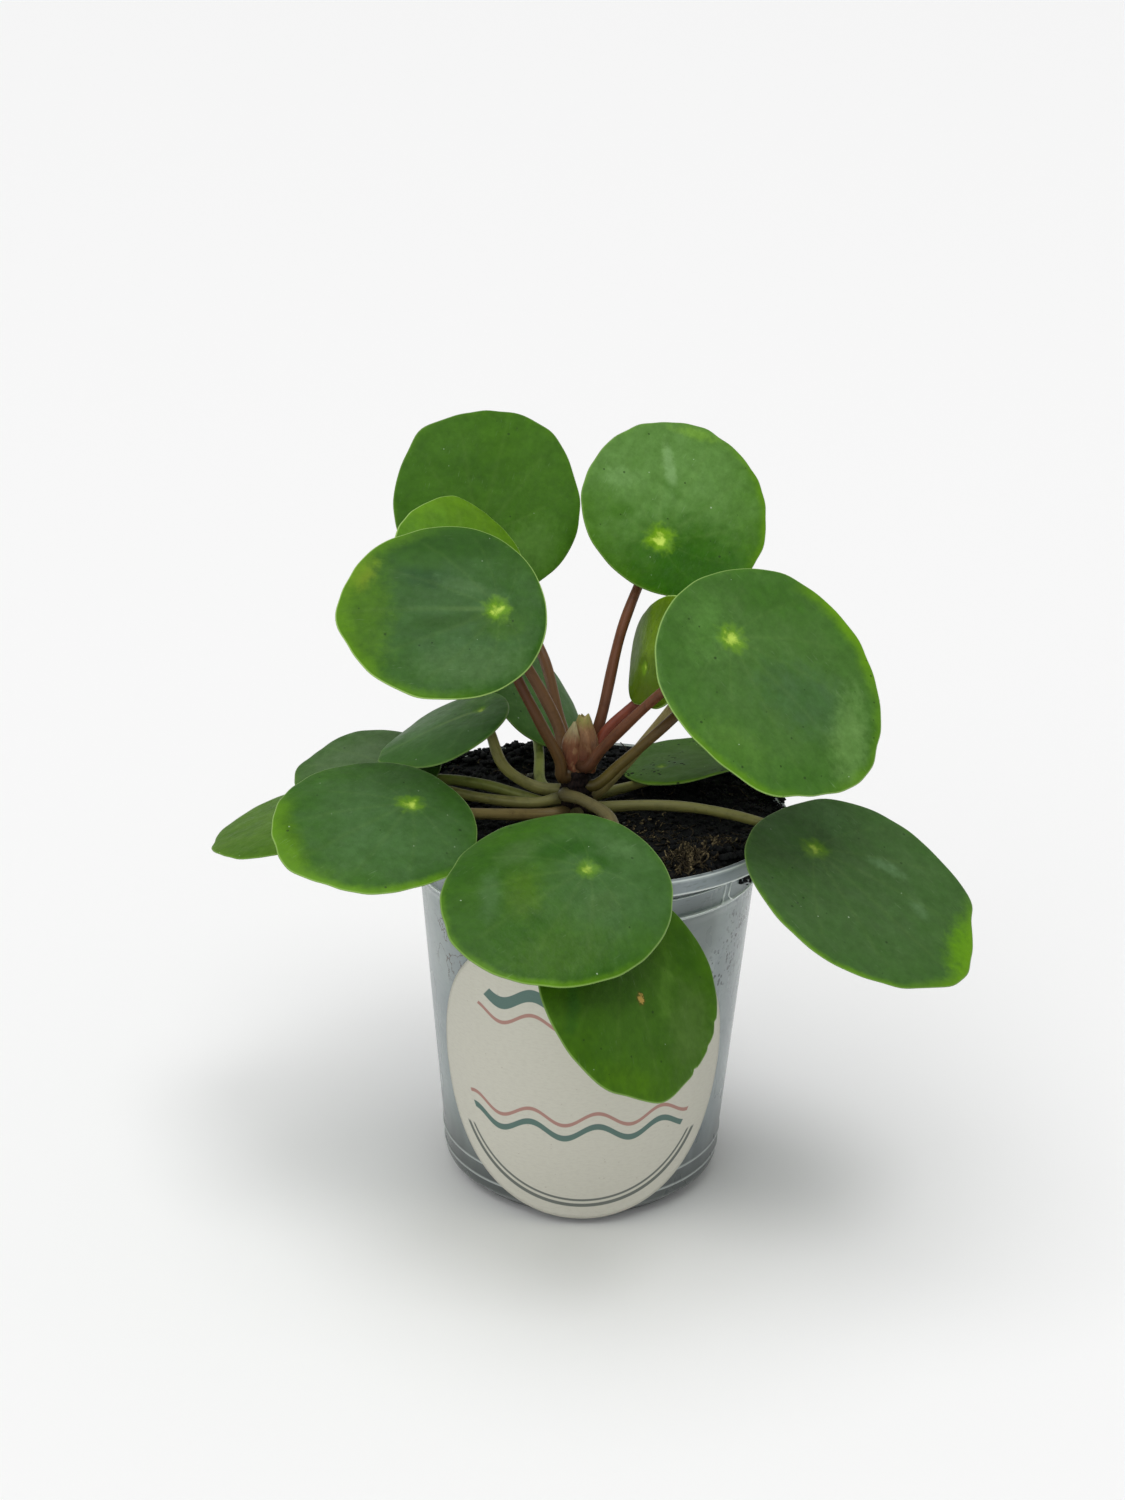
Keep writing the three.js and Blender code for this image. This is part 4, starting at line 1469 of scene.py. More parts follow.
LEAVES: tuple[Leaf, ...] = (
    Leaf(1, (-35, 36, 191), 281.5, 57, 162, 61, 57, 0.4, 0, 5, (98, 131),
         ((-8.8, 9, 140.2), (-14.5, 18, 158), (-29, 37.5, 178)), StalkLook.PALE_BROWN,
         BladeLook(0.2, (59, 106, 9), (70, 118, 18), BloomSheen(20, 0, 30, 0.4, (77, 120, 29)), (), 0.4, 0.52,
             0.12, (ToneShadeSheenPatch(0, -16, 14, 11, -14, (93, 136, 56), 0.8),
             ToneShadeSheenPatch(19, 8, 14, 9, -71, (52, 95, 11), 0.5))),
         ((-32, 20, 0.05), (62, 14, 0.055))),
    Leaf(2, (19.3, 22, 194.3), 287, 52, 144.5, 60, 57, 0.44, -1, 4, (52, 133), ((3, 5, 143.2), (9, 13, 170)),
         StalkLook.RED_BROWN,
         BladeLook(0.3, (63, 111, 4), (77, 127, 14), BloomSheen(24, 8, 42, 0.95, (107, 150, 78)),
             (Band(-40, 45, 4, 0.6),), 1.35, specular=0.09,
             tone_shade_sheen_patches=(ToneShadeSheenPatch(-5, -13, 26, 23, -62, (44, 99, 0), 0.95),
             ToneShadeSheenPatch(24, 8, 11, 2.6, 31, (149, 188, 127), 0.6),
             ToneShadeSheenPatch(12, 19, 8, 4.5, -55, (133, 174, 108), 0.55), ToneShadeSheenPatch(2, 14, 6, 4, -53, (68, 115, 32), 0.7),
             ToneShadeSheenPatch(17, 4, 8, 2.2, 75, (70, 118, 34), 0.5), ToneShadeSheenPatch(40, 5, 10, 3, -70, (138, 185, 68)))),
         ((60, 18, 0.02), (138, 24, 0.03))),
    Leaf(3, (-36.5, 6, 187), 308, 40, 160, 44, 42, 0.33, 4, 2, (148, 135),
         ((-8.8, 2.4, 139.6), (-19, 5, 159)), StalkLook.PALE_BROWN,
         BladeLook(0.9, (87, 137, 4), (111, 155, 22), BloomSheen(12, 0, 18, 0.2), (), 0.6, 0.42, 0.12),
         ((-72, 25, 0.06),), True),
    Leaf(4, (-27, -14, 182), 282, 44.5, -93.5, 59, 56.5, 0.53, 1, 3, (222, 129),
         ((-8.5, -6.5, 133.5), (-14.8, -8.5, 147), (-22.5, -9.5, 163)), StalkLook.OLIVE_TO_DARK_RED,
         BladeLook(1, (47, 94, 10), (59, 106, 16), BloomSheen(12, 2, 32, 0.95, (67, 106, 55)),
             (Band(-16, 50, 7, 0.5), Band(42, 40, 5, 0.45)), specular=0.12, midline=0.07,
             tone_shade_sheen_patches=(ToneShadeSheenPatch(38, 0, 26, 11, 88, (82, 126, 14), 0.85),
             ToneShadeSheenPatch(11, -22, 25, 8, -3, (40, 86, 4), 0.9), ToneShadeSheenPatch(20, -10, 11, 4.5, -9, (41, 82, 41), 0.8),
             ToneShadeSheenPatch(15, 4, 18, 3, 8, (49, 90, 24), 0.8), ToneShadeSheenPatch(8, -7, 13, 3, -16, (94, 129, 80), 0.5),
             ToneShadeSheenPatch(6, 18, 22, 8, 3, (88, 124, 70), 0.6), ToneShadeSheenPatch(-1, 5, 10, 7, 0, (62, 106, 8), 0.75),
             ToneShadeSheenPatch(38, -12, 8, 5, 60, (128, 154, 24), 0.7))),
         ((-12, 18, -0.03), (76, 14, 0.03), (170, 28, 0.04))),
    Leaf(5, (39, -24, 178), 300.5, 45, 28.5, 72, 69, 0.46, -0.5, 3.5, (305, 132.5),
         ((3.2, -9, 138.5), (20.3, -18.5, 160)), StalkLook.RED_BROWN,
         BladeLook(0.65, (56, 109, 13), (69, 122, 24), BloomSheen(14, 0, 56, 0.95, (82, 120, 58)),
             (Band(58, 34, 7, 0.95), Band(10, 30, 5, 0.5), Band(-58, 36, 3.5, 0.6)), 0.88,
             tone_shade_sheen_patches=(ToneShadeSheenPatch(27, 4, 21, 14, 27, (76, 111, 68), 0.85),
             ToneShadeSheenPatch(-7, -4, 14, 8, -60, (95, 142, 64), 0.65), ToneShadeSheenPatch(43, 6, 20, 8, -56, (115, 155, 84), 0.8),
             ToneShadeSheenPatch(0, 21, 15, 7, 41, (62, 109, 29)), ToneShadeSheenPatch(22, -26, 17, 8, 18, (98, 142, 56), 0.5))),
         ((-58, 14, 0.035), (125, 14, 0.045))),
    Leaf(6, (15.5, 0, 161.5), 203, 79.5, 168, 34, 32.5, 0.3, 3, 4, (5, 136),
         ((4.5, 0, 141), (13, 3.5, 148.5), (19.5, 4.5, 155)), StalkLook.RED,
         BladeLook(0.8, (83, 113, 2), (103, 132, 14), BloomSheen(8, 0, 14, 0.2), (), 0.9, 0.42, 0.12,
             (ToneShadeSheenPatch(8, 2, 10, 7, 60, (124, 155, 27)), ToneShadeSheenPatch(-6, -5, 10, 5, -65, (89, 105, 19)))),
         ((110, 38, 0.12), (-160, 14, -0.1)), True),
    Leaf(7, (42, 12, 162), 300, 40, 30, 46, 44, 0.42, 1, 3, (345, 125.5), ((9, -1.5, 131.5), (25, 1.5, 146)),
         StalkLook.OLIVE_TO_RED),
    Leaf(8, (36, 26, 158), 290, 45, 80, 42, 40, 0.42, 1, 3, (32, 120.5), ((9.2, 6, 127.1), (23.2, 15, 142.5)),
         StalkLook.TAN),
    Leaf(9, (-33, 8, 144.5), 197.5, 20, -3, 40, 38.5, 0.57, 2.4, 2, (140, 121.8),
         ((-16, 2, 122.6), (-25.5, 3, 128.5), (-29.8, 6, 138)), StalkLook.OLIVE,
         BladeLook(0.25, (54, 103, 26), (68, 115, 37), BloomSheen(12, 0, 26, 0.9, (87, 131, 70)), (), 0.7,
             tone_shade_sheen_patches=(ToneShadeSheenPatch(13, -1, 14, 6, 7, (101, 140, 87), 0.6),
             ToneShadeSheenPatch(-2, -7, 9, 6, 0, (86, 140, 36), 0.75)), midline=0.22),
         ((-80, 25, 0.08), (12, 12, 0.06))),
    Leaf(10, (-13.5, 38, 135), 335, 49, 161, 42.5, 40.5, 0.33, 3, 3, (118, 117.6),
         ((-10, 9, 118), (-14.6, 15, 119), (-15.6, 26, 124), (-16.5, 37, 129.5)), StalkLook.OLIVE_GREEN,
         BladeLook(0.3, (67, 114, 37), (81, 125, 46), BloomSheen(8, 0, 26, 0.8, (93, 137, 72)), (), 0.5, 0.48, 0.2,
             scratches=1.0)),
    Leaf(11, (-50.5, -32, 129.3), 302, 18, -73.5, 59, 56, 0.47, 2, 3, (230, 117.8),
         ((-16, -9.8, 118.3), (-36, -21, 122.5)), StalkLook.BROWN,
         BladeLook(0.6, (51, 100, 11), (64, 112, 21), BloomSheen(10, 4, 34, 0.95, (81, 117, 69)),
             (Band(-14, 38, 9, 0.65), Band(38, 42, 4, 0.85)),
             tone_shade_sheen_patches=(ToneShadeSheenPatch(37.5, -8, 18, 5, 64, (80, 124, 0), 0.9),
             ToneShadeSheenPatch(21, 8, 14, 11, -22, (83, 123, 70), 0.4))),
         ((50, 12, 0.025), (160, 16, 0.03))),
    Leaf(12, (-59, 2, 127.5), 260, 18, -90, 45, 43, 0.34, 2, 2, (190, 120.8),
         ((-15, -4.2, 119.9), (-29.5, -2.5, 120), (-46, 0, 122.3)), StalkLook.OLIVE,
         BladeLook(0.2, (54, 95, 24), (65, 106, 32), BloomSheen(8, 0, 28, 0.85, (104, 130, 92))),
         ((-24, 30, -0.09),)),
    Leaf(13, (-74.8, 6, 115.4), 183, 14.5, 15, 50, 52, 0.6, 1, 2, (165, 117.2),
         ((-15, 1.5, 118.2), (-31, 5, 121.6), (-46, 8, 122), (-59, 9, 119.6), (-66, 8.5, 115)),
         StalkLook.OLIVE_GREEN,
         BladeLook(0.25, (73, 114, 15), (93, 132, 30), BloomSheen(14, 0, 22, 0.3, (106, 140, 56)), (), 0.8, 0.42,
             0.12),
         ((-35, 12, 0.04), (40, 22, 0.035))),
    Leaf(14, (22.5, 24, 122.2), 174, 10, 215, 46, 44.5, 0.47, -0.4, 3.3, (74, 117.8),
         ((6, 11, 118), (16, 19, 118.2)), StalkLook.OLIVE,
         BladeLook(0.4, (80, 122, 44), (96, 138, 58), BloomSheen(4, 2, 22, 0.6, (104, 134, 84)),
             (Band(-110, 75, 3, 0.95),), 0.5, 0.5, 0.05, (ToneShadeSheenPatch(1, 0, 9, 4, -34, (100, 129, 96), 0.6),),
             dirt=0.95, scratches=0.6),
         ((-145, 10, -0.04), (30, 9, -0.03), (52, 8, 0.03))),
    Leaf(15, (65, -30, 117.5), 313, 27.5, 8.5, 71.5, 68.5, 0.52, -1.5, 1.5, (335, 119),
         ((18.2, -8.5, 121.6), (33, -12.5, 122.4), (50, -19, 121.2), (57.5, -24, 120.2)), StalkLook.OLIVE,
         BladeLook(0.25, (51, 101, 19), (68, 115, 28), BloomSheen(12, 0, 70, 1.0, (74, 106, 58)),
             (Band(12, 30, 5, 0.8), Band(-50, 45, 3, 0.6)), 0.75,
             tone_shade_sheen_patches=(ToneShadeSheenPatch(49, 11, 18, 6.5, -62, (104, 156, 8), 0.95),
             ToneShadeSheenPatch(16, 15, 8, 3, 22, (105, 140, 98), 0.6), ToneShadeSheenPatch(32, 11, 5, 3, -18, (103, 138, 94), 0.5),
             ToneShadeSheenPatch(-8, -2, 13, 9, 88, (74, 116, 55)), ToneShadeSheenPatch(-7, 14, 11, 8, 0, (88, 126, 74), 0.8))),
         ((62, 14, 0.045), (148, 10, 0.035), (-50, 20, -0.02))),
    Leaf(16, (0.5, -72, 127.5), 292, 25, -66, 63.5, 58, 0.35, 6, 4, (275, 117.8),
         ((-3.5, -18, 118.2), (-4.5, -42, 120.5), (-3.5, -61, 123.8)), StalkLook.DULL_OLIVE,
         BladeLook(0.45, (49, 96, 10), (65, 110, 16), BloomSheen(-6, 6, 30, 0.9, (75, 113, 61)),
             (Band(10, 50, 2.6, 0.42), Band(42, 40, 2.6, 0.42)), 0.62,
             tone_shade_sheen_patches=(ToneShadeSheenPatch(20, -4, 12, 7, 46, (74, 114, 8), 0.85), ToneShadeSheenPatch(27, -9, 11, 4, 47, (82, 120, 69)),
             ToneShadeSheenPatch(0, -9, 13, 4.5, -21, (41, 90, 10), 0.9), ToneShadeSheenPatch(-4, -1, 7, 3.5, -70, (45, 92, 16), 0.7),
             ToneShadeSheenPatch(-13, -1, 10, 4, -62, (92, 129, 76)), ToneShadeSheenPatch(24, 16, 20, 9, -22, (73, 112, 33), 0.7),
             ToneShadeSheenPatch(11, -16, 9, 5, 0, (86, 119, 64), 0.6), ToneShadeSheenPatch(5, 11, 9, 5, 0, (86, 120, 66), 0.6))),
         ((10, 45, 0.035), (160, 25, 0.05), (-125, 24, -0.05))),
    Leaf(17, (10, -77.5, 108), 314, 51.3, -8.5, 59, 58, 0.4, 1.7, 4, (232, 123.6),
         ((-2, -14, 125), (6.5, -27, 124.2), (7.5, -58, 121.5), (6, -66.5, 115)), StalkLook.DULL_OLIVE,
         BladeLook(0.4, (60, 102, 4), (71, 112, 13), BloomSheen(16, 0, 28, 0.3), (), 0.6, 0.46, 0.14,
             (ToneShadeSheenPatch(25, 15, 18, 9, -28, (81, 113, 48), 0.85), ToneShadeSheenPatch(4, 21, 11, 7, 0, (52, 92, 16), 0.7),
             ToneShadeSheenPatch(13, -21, 10, 2.5, -22, (45, 94, 27), 0.7), ToneShadeSheenPatch(14, 10, 11, 3, -24, (90, 130, 45)),
             ToneShadeSheenPatch(36, -8, 13, 5, 67, (81, 123, 11))), blemish=(15.3, 0.6)),
         ((62, 2.2, -0.02), (50, 1.6, -0.014), (33, 2.0, -0.018), (-38, 14, 0.025))),
)


@dataclass
class Pot:
    """The frosted nursery pot: foot, beads, taper, ridge, ribbed collar, shelf and lip."""

    height: float = 117.0
    lip_radius: float = 60.0
    lip_depth: float = 4.6
    lip_land: float = 2.1
    lip_wall: float = 1.3
    shelf: float = 1.3
    collar_top: float = 52.6
    collar_foot: float = 51.0
    ridge_radius: float = 51.5
    ridge_height: float = 101.0
    ridge_band: float = 1.6
    body_top: Pair = (50.5, 100.0)
    body_foot: Pair = (42.5, 6.0)
    chamfer: Pair = (40.0, 3.0)
    base_radius: float = 37.0
    base_middle: float = 20.0
    wall: float = 1.1
    floor: float = 1.2
    beads: Pair = (8.5, 13.7)
    bead_proud: float = 0.3
    # the painted highlight on the beads' crests
    bead_highlight: float = 0.55
    bead_section: tuple[Pair, ...] = (
        (-1.0, 0), (-0.5, 0.1), (-0.25, 0.85), (0, 1), (0.25, 0.85), (0.5, 0.1), (1.0, 0))
    sides: int = 168
    rib_pairs: int = 12
    rib_spread: float = 1.35
    rib_proud: float = 0.36
    rib_wide: float = 0.28
    rib_sides: int = 8
    # the painted highlight on the panel frames: strong on their lower lines, weak on their upper ones
    rib_highlight: Pair = (0.95, 0.5)
    rib_step: float = 1.2
    panel_low: float = 101.3
    panel_high: float = 107.7
    panel_turn: float = 6.8
    panel_corner: float = 2.4
    corner_steps: int = 8
    drain_holes: int = 8
    drain_radius: float = 4.0
    drain_circle: float = 26.0
    drain_sides: int = 32

    def body_radius(self, height: float) -> float:
        """The tapered body's outer radius at a height."""
        share = (height - self.body_foot[1]) / (self.body_top[1] - self.body_foot[1])
        return between(self.body_foot[0], self.body_top[0], share)

    def outline(self) -> list[tuple[float, float, float]]:
        """The section's corners, up the outside and down the inside.

        Returns:
            The radius, the height and the strength of the painted highlight there, from 0 to 1.
        """
        base, foot = self.base_radius, self.body_foot
        found = [(0.0, 0.0, 0), (self.base_middle, 0.0, 0), (base - 1, 0.0, 0), (base, 0.3, 0)]
        found += [(*self.chamfer, 0.1), (foot[0] - 0.5, foot[1] - 1.2, 0.1), (*foot, 0)]
        for bead in self.beads:
            for step, proud in self.bead_section:
                radius = self.body_radius(bead + step) + proud * self.bead_proud
                # painted highlight, strongest on the bead's crest
                found.append((radius, bead + step, self.bead_highlight * proud ** 2))
        found += [(self.body_radius(z), z, 0) for z in (25, 40, 55, 70, 85, 97)]
        ridge, low, wall = self.ridge_radius, self.ridge_height, self.wall
        found += [(*self.body_top, 0), (ridge - 0.2, low - 0.7, 0), (ridge, low - 0.4, 0.5)]
        found += [(ridge, low + 0.5, 0.5), (ridge - 0.15, low + 0.9, 0)]
        found += [(self.collar_foot, low + self.ridge_band, 0), (self.collar_foot + 0.7, 107.0, 0)]
        found += self._lip()
        found += [(self.collar_foot - wall, low + self.ridge_band, 0)]
        found += [(self.body_top[0] - wall, self.body_top[1], 0)]
        found += [(self.body_radius(z) - wall, z, 0) for z in (75, 50, 25)]
        found += [(foot[0] - wall, foot[1] + 0.5, 0), (self.chamfer[0] - wall, self.chamfer[1] + wall, 0)]
        found += [(base, self.floor, 0), (self.base_middle, self.floor, 0), (0.0, self.floor, 0)]
        return found

    def _lip(self) -> list[tuple[float, float, float]]:
        """The section of the shelf and the lip, from the collar's outside to its inside.

        Returns:
            The radius, the height and the strength of the painted highlight there, from 0 to 1.
        """
        top, collar, lip = self.height, self.collar_top, self.lip_radius
        shelf, land, inside = top - self.lip_depth, lip - self.lip_land, lip - self.lip_wall
        return [
            (collar - 0.2, shelf - 1.5, 0), (collar, shelf - 0.55, 0), (collar + 0.9, shelf - 0.1, 0),
            (lip - 1.2, shelf, 0), (lip - 0.3, shelf + 0.2, 0.8), (lip, shelf + 0.55, 0.9),
            (lip, shelf + 1.0, 0), (lip, top - 0.9, 0), (lip - 0.12, top - 0.35, 0.3),
            (lip - 0.3, top - 0.1, 0.9), (lip - 0.6, top, 0.3), (lip - 0.9, top, 0),
            (land + 0.5, top, 0), (land + 0.2, top, 1), (land, top - 0.2, 0.8), (land + 0.1, top - 0.6, 0),
            (inside, top - 0.9, 0), (inside - 0.05, top - 1.4, 0),
            (inside, shelf + self.shelf + 0.3, 0), (inside - 0.5, shelf + self.shelf, 0),
            (collar - self.wall, shelf + self.shelf, 0),
        ]

    def shell(self) -> tuple[list[Point], list[Face], list[float]]:
        """The turned shell.

        Returns:
            Its points, its faces and the strength of each point's painted highlight.
        """
        outline = self.outline()[1:-1]
        rings = lathe([(radius, height) for radius, height, _ in outline], self.sides)
        points, faces = closed_tube(rings, np.array([0, 0, 0]), np.array([0, 0, self.floor]))
        return points, faces, [0.0, *(pale for *_, pale in outline for _ in range(self.sides)), 0.0]

    def _panel_path(self) -> Array:
        """One collar panel's frame laid flat: a rounded frame with an even spacing.

        Returns:
            Places across from the panel's middle and up the pot.
        """
        half = math.radians(180 / self.rib_pairs - self.rib_spread) * self.collar_top
        low, high, corner = self.panel_low, self.panel_high, self.panel_corner
        flat = []
        for side, base, start in ((1, low, -90), (1, high, 0), (-1, high, 90), (-1, low, 180)):
            inset = corner if base == low else 0.3 * corner
            centre = (side * (half - inset), base + inset if base == low else base - inset)
            for step in range(self.corner_steps + 1):
                turn = math.radians(start + 90 * step / self.corner_steps)
                flat.append((centre[0] + inset * math.cos(turn), centre[1] + inset * math.sin(turn)))
        flat = np.array(flat)
        spaced = []
        for here, there in zip(flat, np.roll(flat, -1, axis=0)):
            count = max(1, int(np.linalg.norm(there - here) / self.rib_step))
            spaced += [between(here, there, step / count) for step in range(count)]
        return np.array(spaced)

    def panel_bead(self, middle: float) -> Solid:
        """The raised frame of one collar panel: its upright sides are the stacking ribs.

        Args:
            middle: the panel's place round the collar, in degrees.

        Returns:
            The frame's points and faces.
        """
        foot, top = self.ridge_height + self.ridge_band, self.height - self.lip_depth - 0.55
        wide, height = self._panel_path().T
        wall = between(self.collar_foot, self.collar_top, (height - foot) / (top - foot))
        wall = np.where(height < foot, self.ridge_radius - 0.1, wall)
        turn = math.radians(middle) + wide / self.collar_top
        out = np.stack([np.cos(turn), np.sin(turn), np.zeros_like(turn)], axis=1)
        path = out * (wall + 0.02)[:, None] + height[:, None] * np.array([0, 0, 1])
        along = np.roll(path, -1, axis=0) - np.roll(path, 1, axis=0)
        along /= np.linalg.norm(along, axis=1, keepdims=True)
        side = np.cross(along, out)
        around = round_angles(self.rib_sides)
        rings = (path[:, None] + self.rib_proud * np.cos(around)[None, :, None] * out[:, None]
                 + self.rib_wide * np.sin(around)[None, :, None] * side[:, None])
        faces = ring_faces(len(path), self.rib_sides, loop=True)
        return [tuple(point) for point in rings.reshape(-1, 3)], faces

    def build(self) -> Piece:
        """Build the pot and cut its drain holes.

        Returns:
            The pot's object.
        """
        parts = MeshParts()
        points, faces, pale = self.shell()
        parts.extend(points, faces)
        for panel in range(self.rib_pairs):
            points, faces = self.panel_bead(self.panel_turn + 360 / self.rib_pairs * panel)
            parts.extend(points, faces)
            # the frame's lower lines get a stronger painted highlight than its upper ones
            low_highlight, high_highlight = self.rib_highlight
            pale += [low_highlight if z < self.panel_high - 2.5 else high_highlight for *_, z in points]
        pot = make_piece("pot_shell", parts, [FrostedPotFinish().make()], "pot",
                         {"pot_edge_highlight": np.array(pale)})
        self._drill(pot)
        return pot

    def _drill(self, pot: Piece) -> None:
        """Cut the drain holes through the floor.

        Args:
            pot: the pot's object.
        """
        parts = MeshParts()
        for hole in range(self.drain_holes):
            turn = math.tau * hole / self.drain_holes
            middle = self.drain_circle * np.array([math.cos(turn), math.sin(turn), 0])
            rings = lathe([(self.drain_radius, z) for z in (-1.0, 3.0)], self.drain_sides, middle)
            parts.extend(*closed_tube(rings, middle - (0, 0, 1), middle + (0, 0, 3)))
        mesh = bpy.data.meshes.new("drain_punches")
        mesh.from_pydata([tuple(MM * v for v in point) for point in parts.points], [], parts.faces)
        punches = put_in_scene("drain_punches", mesh)
        cut = pot.modifiers.new("drain", "BOOLEAN")
        cut.operation = "DIFFERENCE"
        cut.object = punches
        cut.solver = "EXACT"
        depsgraph = bpy.context.evaluated_depsgraph_get()
        drilled = bpy.data.meshes.new_from_object(pot.evaluated_get(depsgraph))
        pot.modifiers.clear()
        pot.data = drilled
        bpy.data.objects.remove(punches)


@dataclass
class Label:
    """The round paper sticker on the pot's front."""

    pot: Pot
    radius: float = 48.8
    middle: float = 51.0
    stand_off: float = 0.35
    thickness: float = 0.22
    rings: int = 40
    points_round: int = 180

    def build(self) -> Piece:
        """Build the sticker as a thin wrapped disc.

        Returns:
            The label's object.
        """
        shares = np.linspace(0, 1, self.rings + 1)[1:]
        angles = round_angles(self.points_round)
        share, angle = np.meshgrid(shares, angles, indexing="ij")
        flat = np.stack([share * self.radius * np.cos(angle), share * self.radius * np.sin(angle)], axis=-1)
        front, back, centre = self.stand_off + self.thickness, self.stand_off, np.zeros(2)
        rings = np.concatenate([self._wrapped(flat, front), self._wrapped(flat, back)[::-1]])
        ends = self._wrapped(centre, front), self._wrapped(centre, back)
        parts = MeshParts().extend(*closed_tube(rings, *ends))
        both = np.concatenate([flat, flat[::-1]]).reshape(-1, 2)
        place = np.concatenate([[[0, 0]], both, [[0, 0]]])
        place = np.column_stack([place, np.zeros(len(place))])
        return make_piece("label_sheet", parts, [PaperFinish().make()], "label",
                          {"label_place": place})

    def _wrapped(self, flat: Array, off: float) -> Array:
        """Wrap flat places round the pot's front.

        Args:
            flat: places across and up from the label's middle.
            off: how far the sheet stands off the pot's body.

        Returns:
            Points in space.
        """
        (wide, top), (narrow, foot) = self.pot.body_top, self.pot.body_foot
        height = self.middle + flat[..., 1]
        radius = narrow + (wide - narrow) / (top - foot) * (height - foot)
        turn = flat[..., 0] / radius
        return np.stack([(radius + off) * np.sin(turn), -(radius + off) * np.cos(turn), height], axis=-1)


class Crumb(Enum):
    """The loose matter on the soil, by the number of its material."""

    PEAT = 0
    BROWN = 1
    GRIT = 2
    FIBRE = 3
    MOSS = 4


@dataclass(frozen=True)
class Scatter:
    """A patch of loose matter: its kind, number, middle, reach, range of sizes and lift."""

    kind: Crumb
    count: int
    middle: Pair
    reach: float
    sizes: Pair
    lift: float = 0.2


GOLDEN = (1 + 5 ** 0.5) / 2
LUMP_CORNERS = [Vector(corner).normalized() for corner in (
    (-1, GOLDEN, 0), (1, GOLDEN, 0), (-1, -GOLDEN, 0), (1, -GOLDEN, 0),
    (0, -1, GOLDEN), (0, 1, GOLDEN), (0, -1, -GOLDEN), (0, 1, -GOLDEN),
    (GOLDEN, 0, -1), (GOLDEN, 0, 1), (-GOLDEN, 0, -1), (-GOLDEN, 0, 1))]
LUMP_FACES = [
    (0, 11, 5), (0, 5, 1), (0, 1, 7), (0, 7, 10), (0, 10, 11), (1, 5, 9), (5, 11, 4),
    (11, 10, 2), (10, 7, 6), (7, 1, 8), (3, 9, 4), (3, 4, 2), (3, 2, 6), (3, 6, 8),
    (3, 8, 9), (4, 9, 5), (2, 4, 11), (6, 2, 10), (8, 6, 7), (9, 8, 1)]


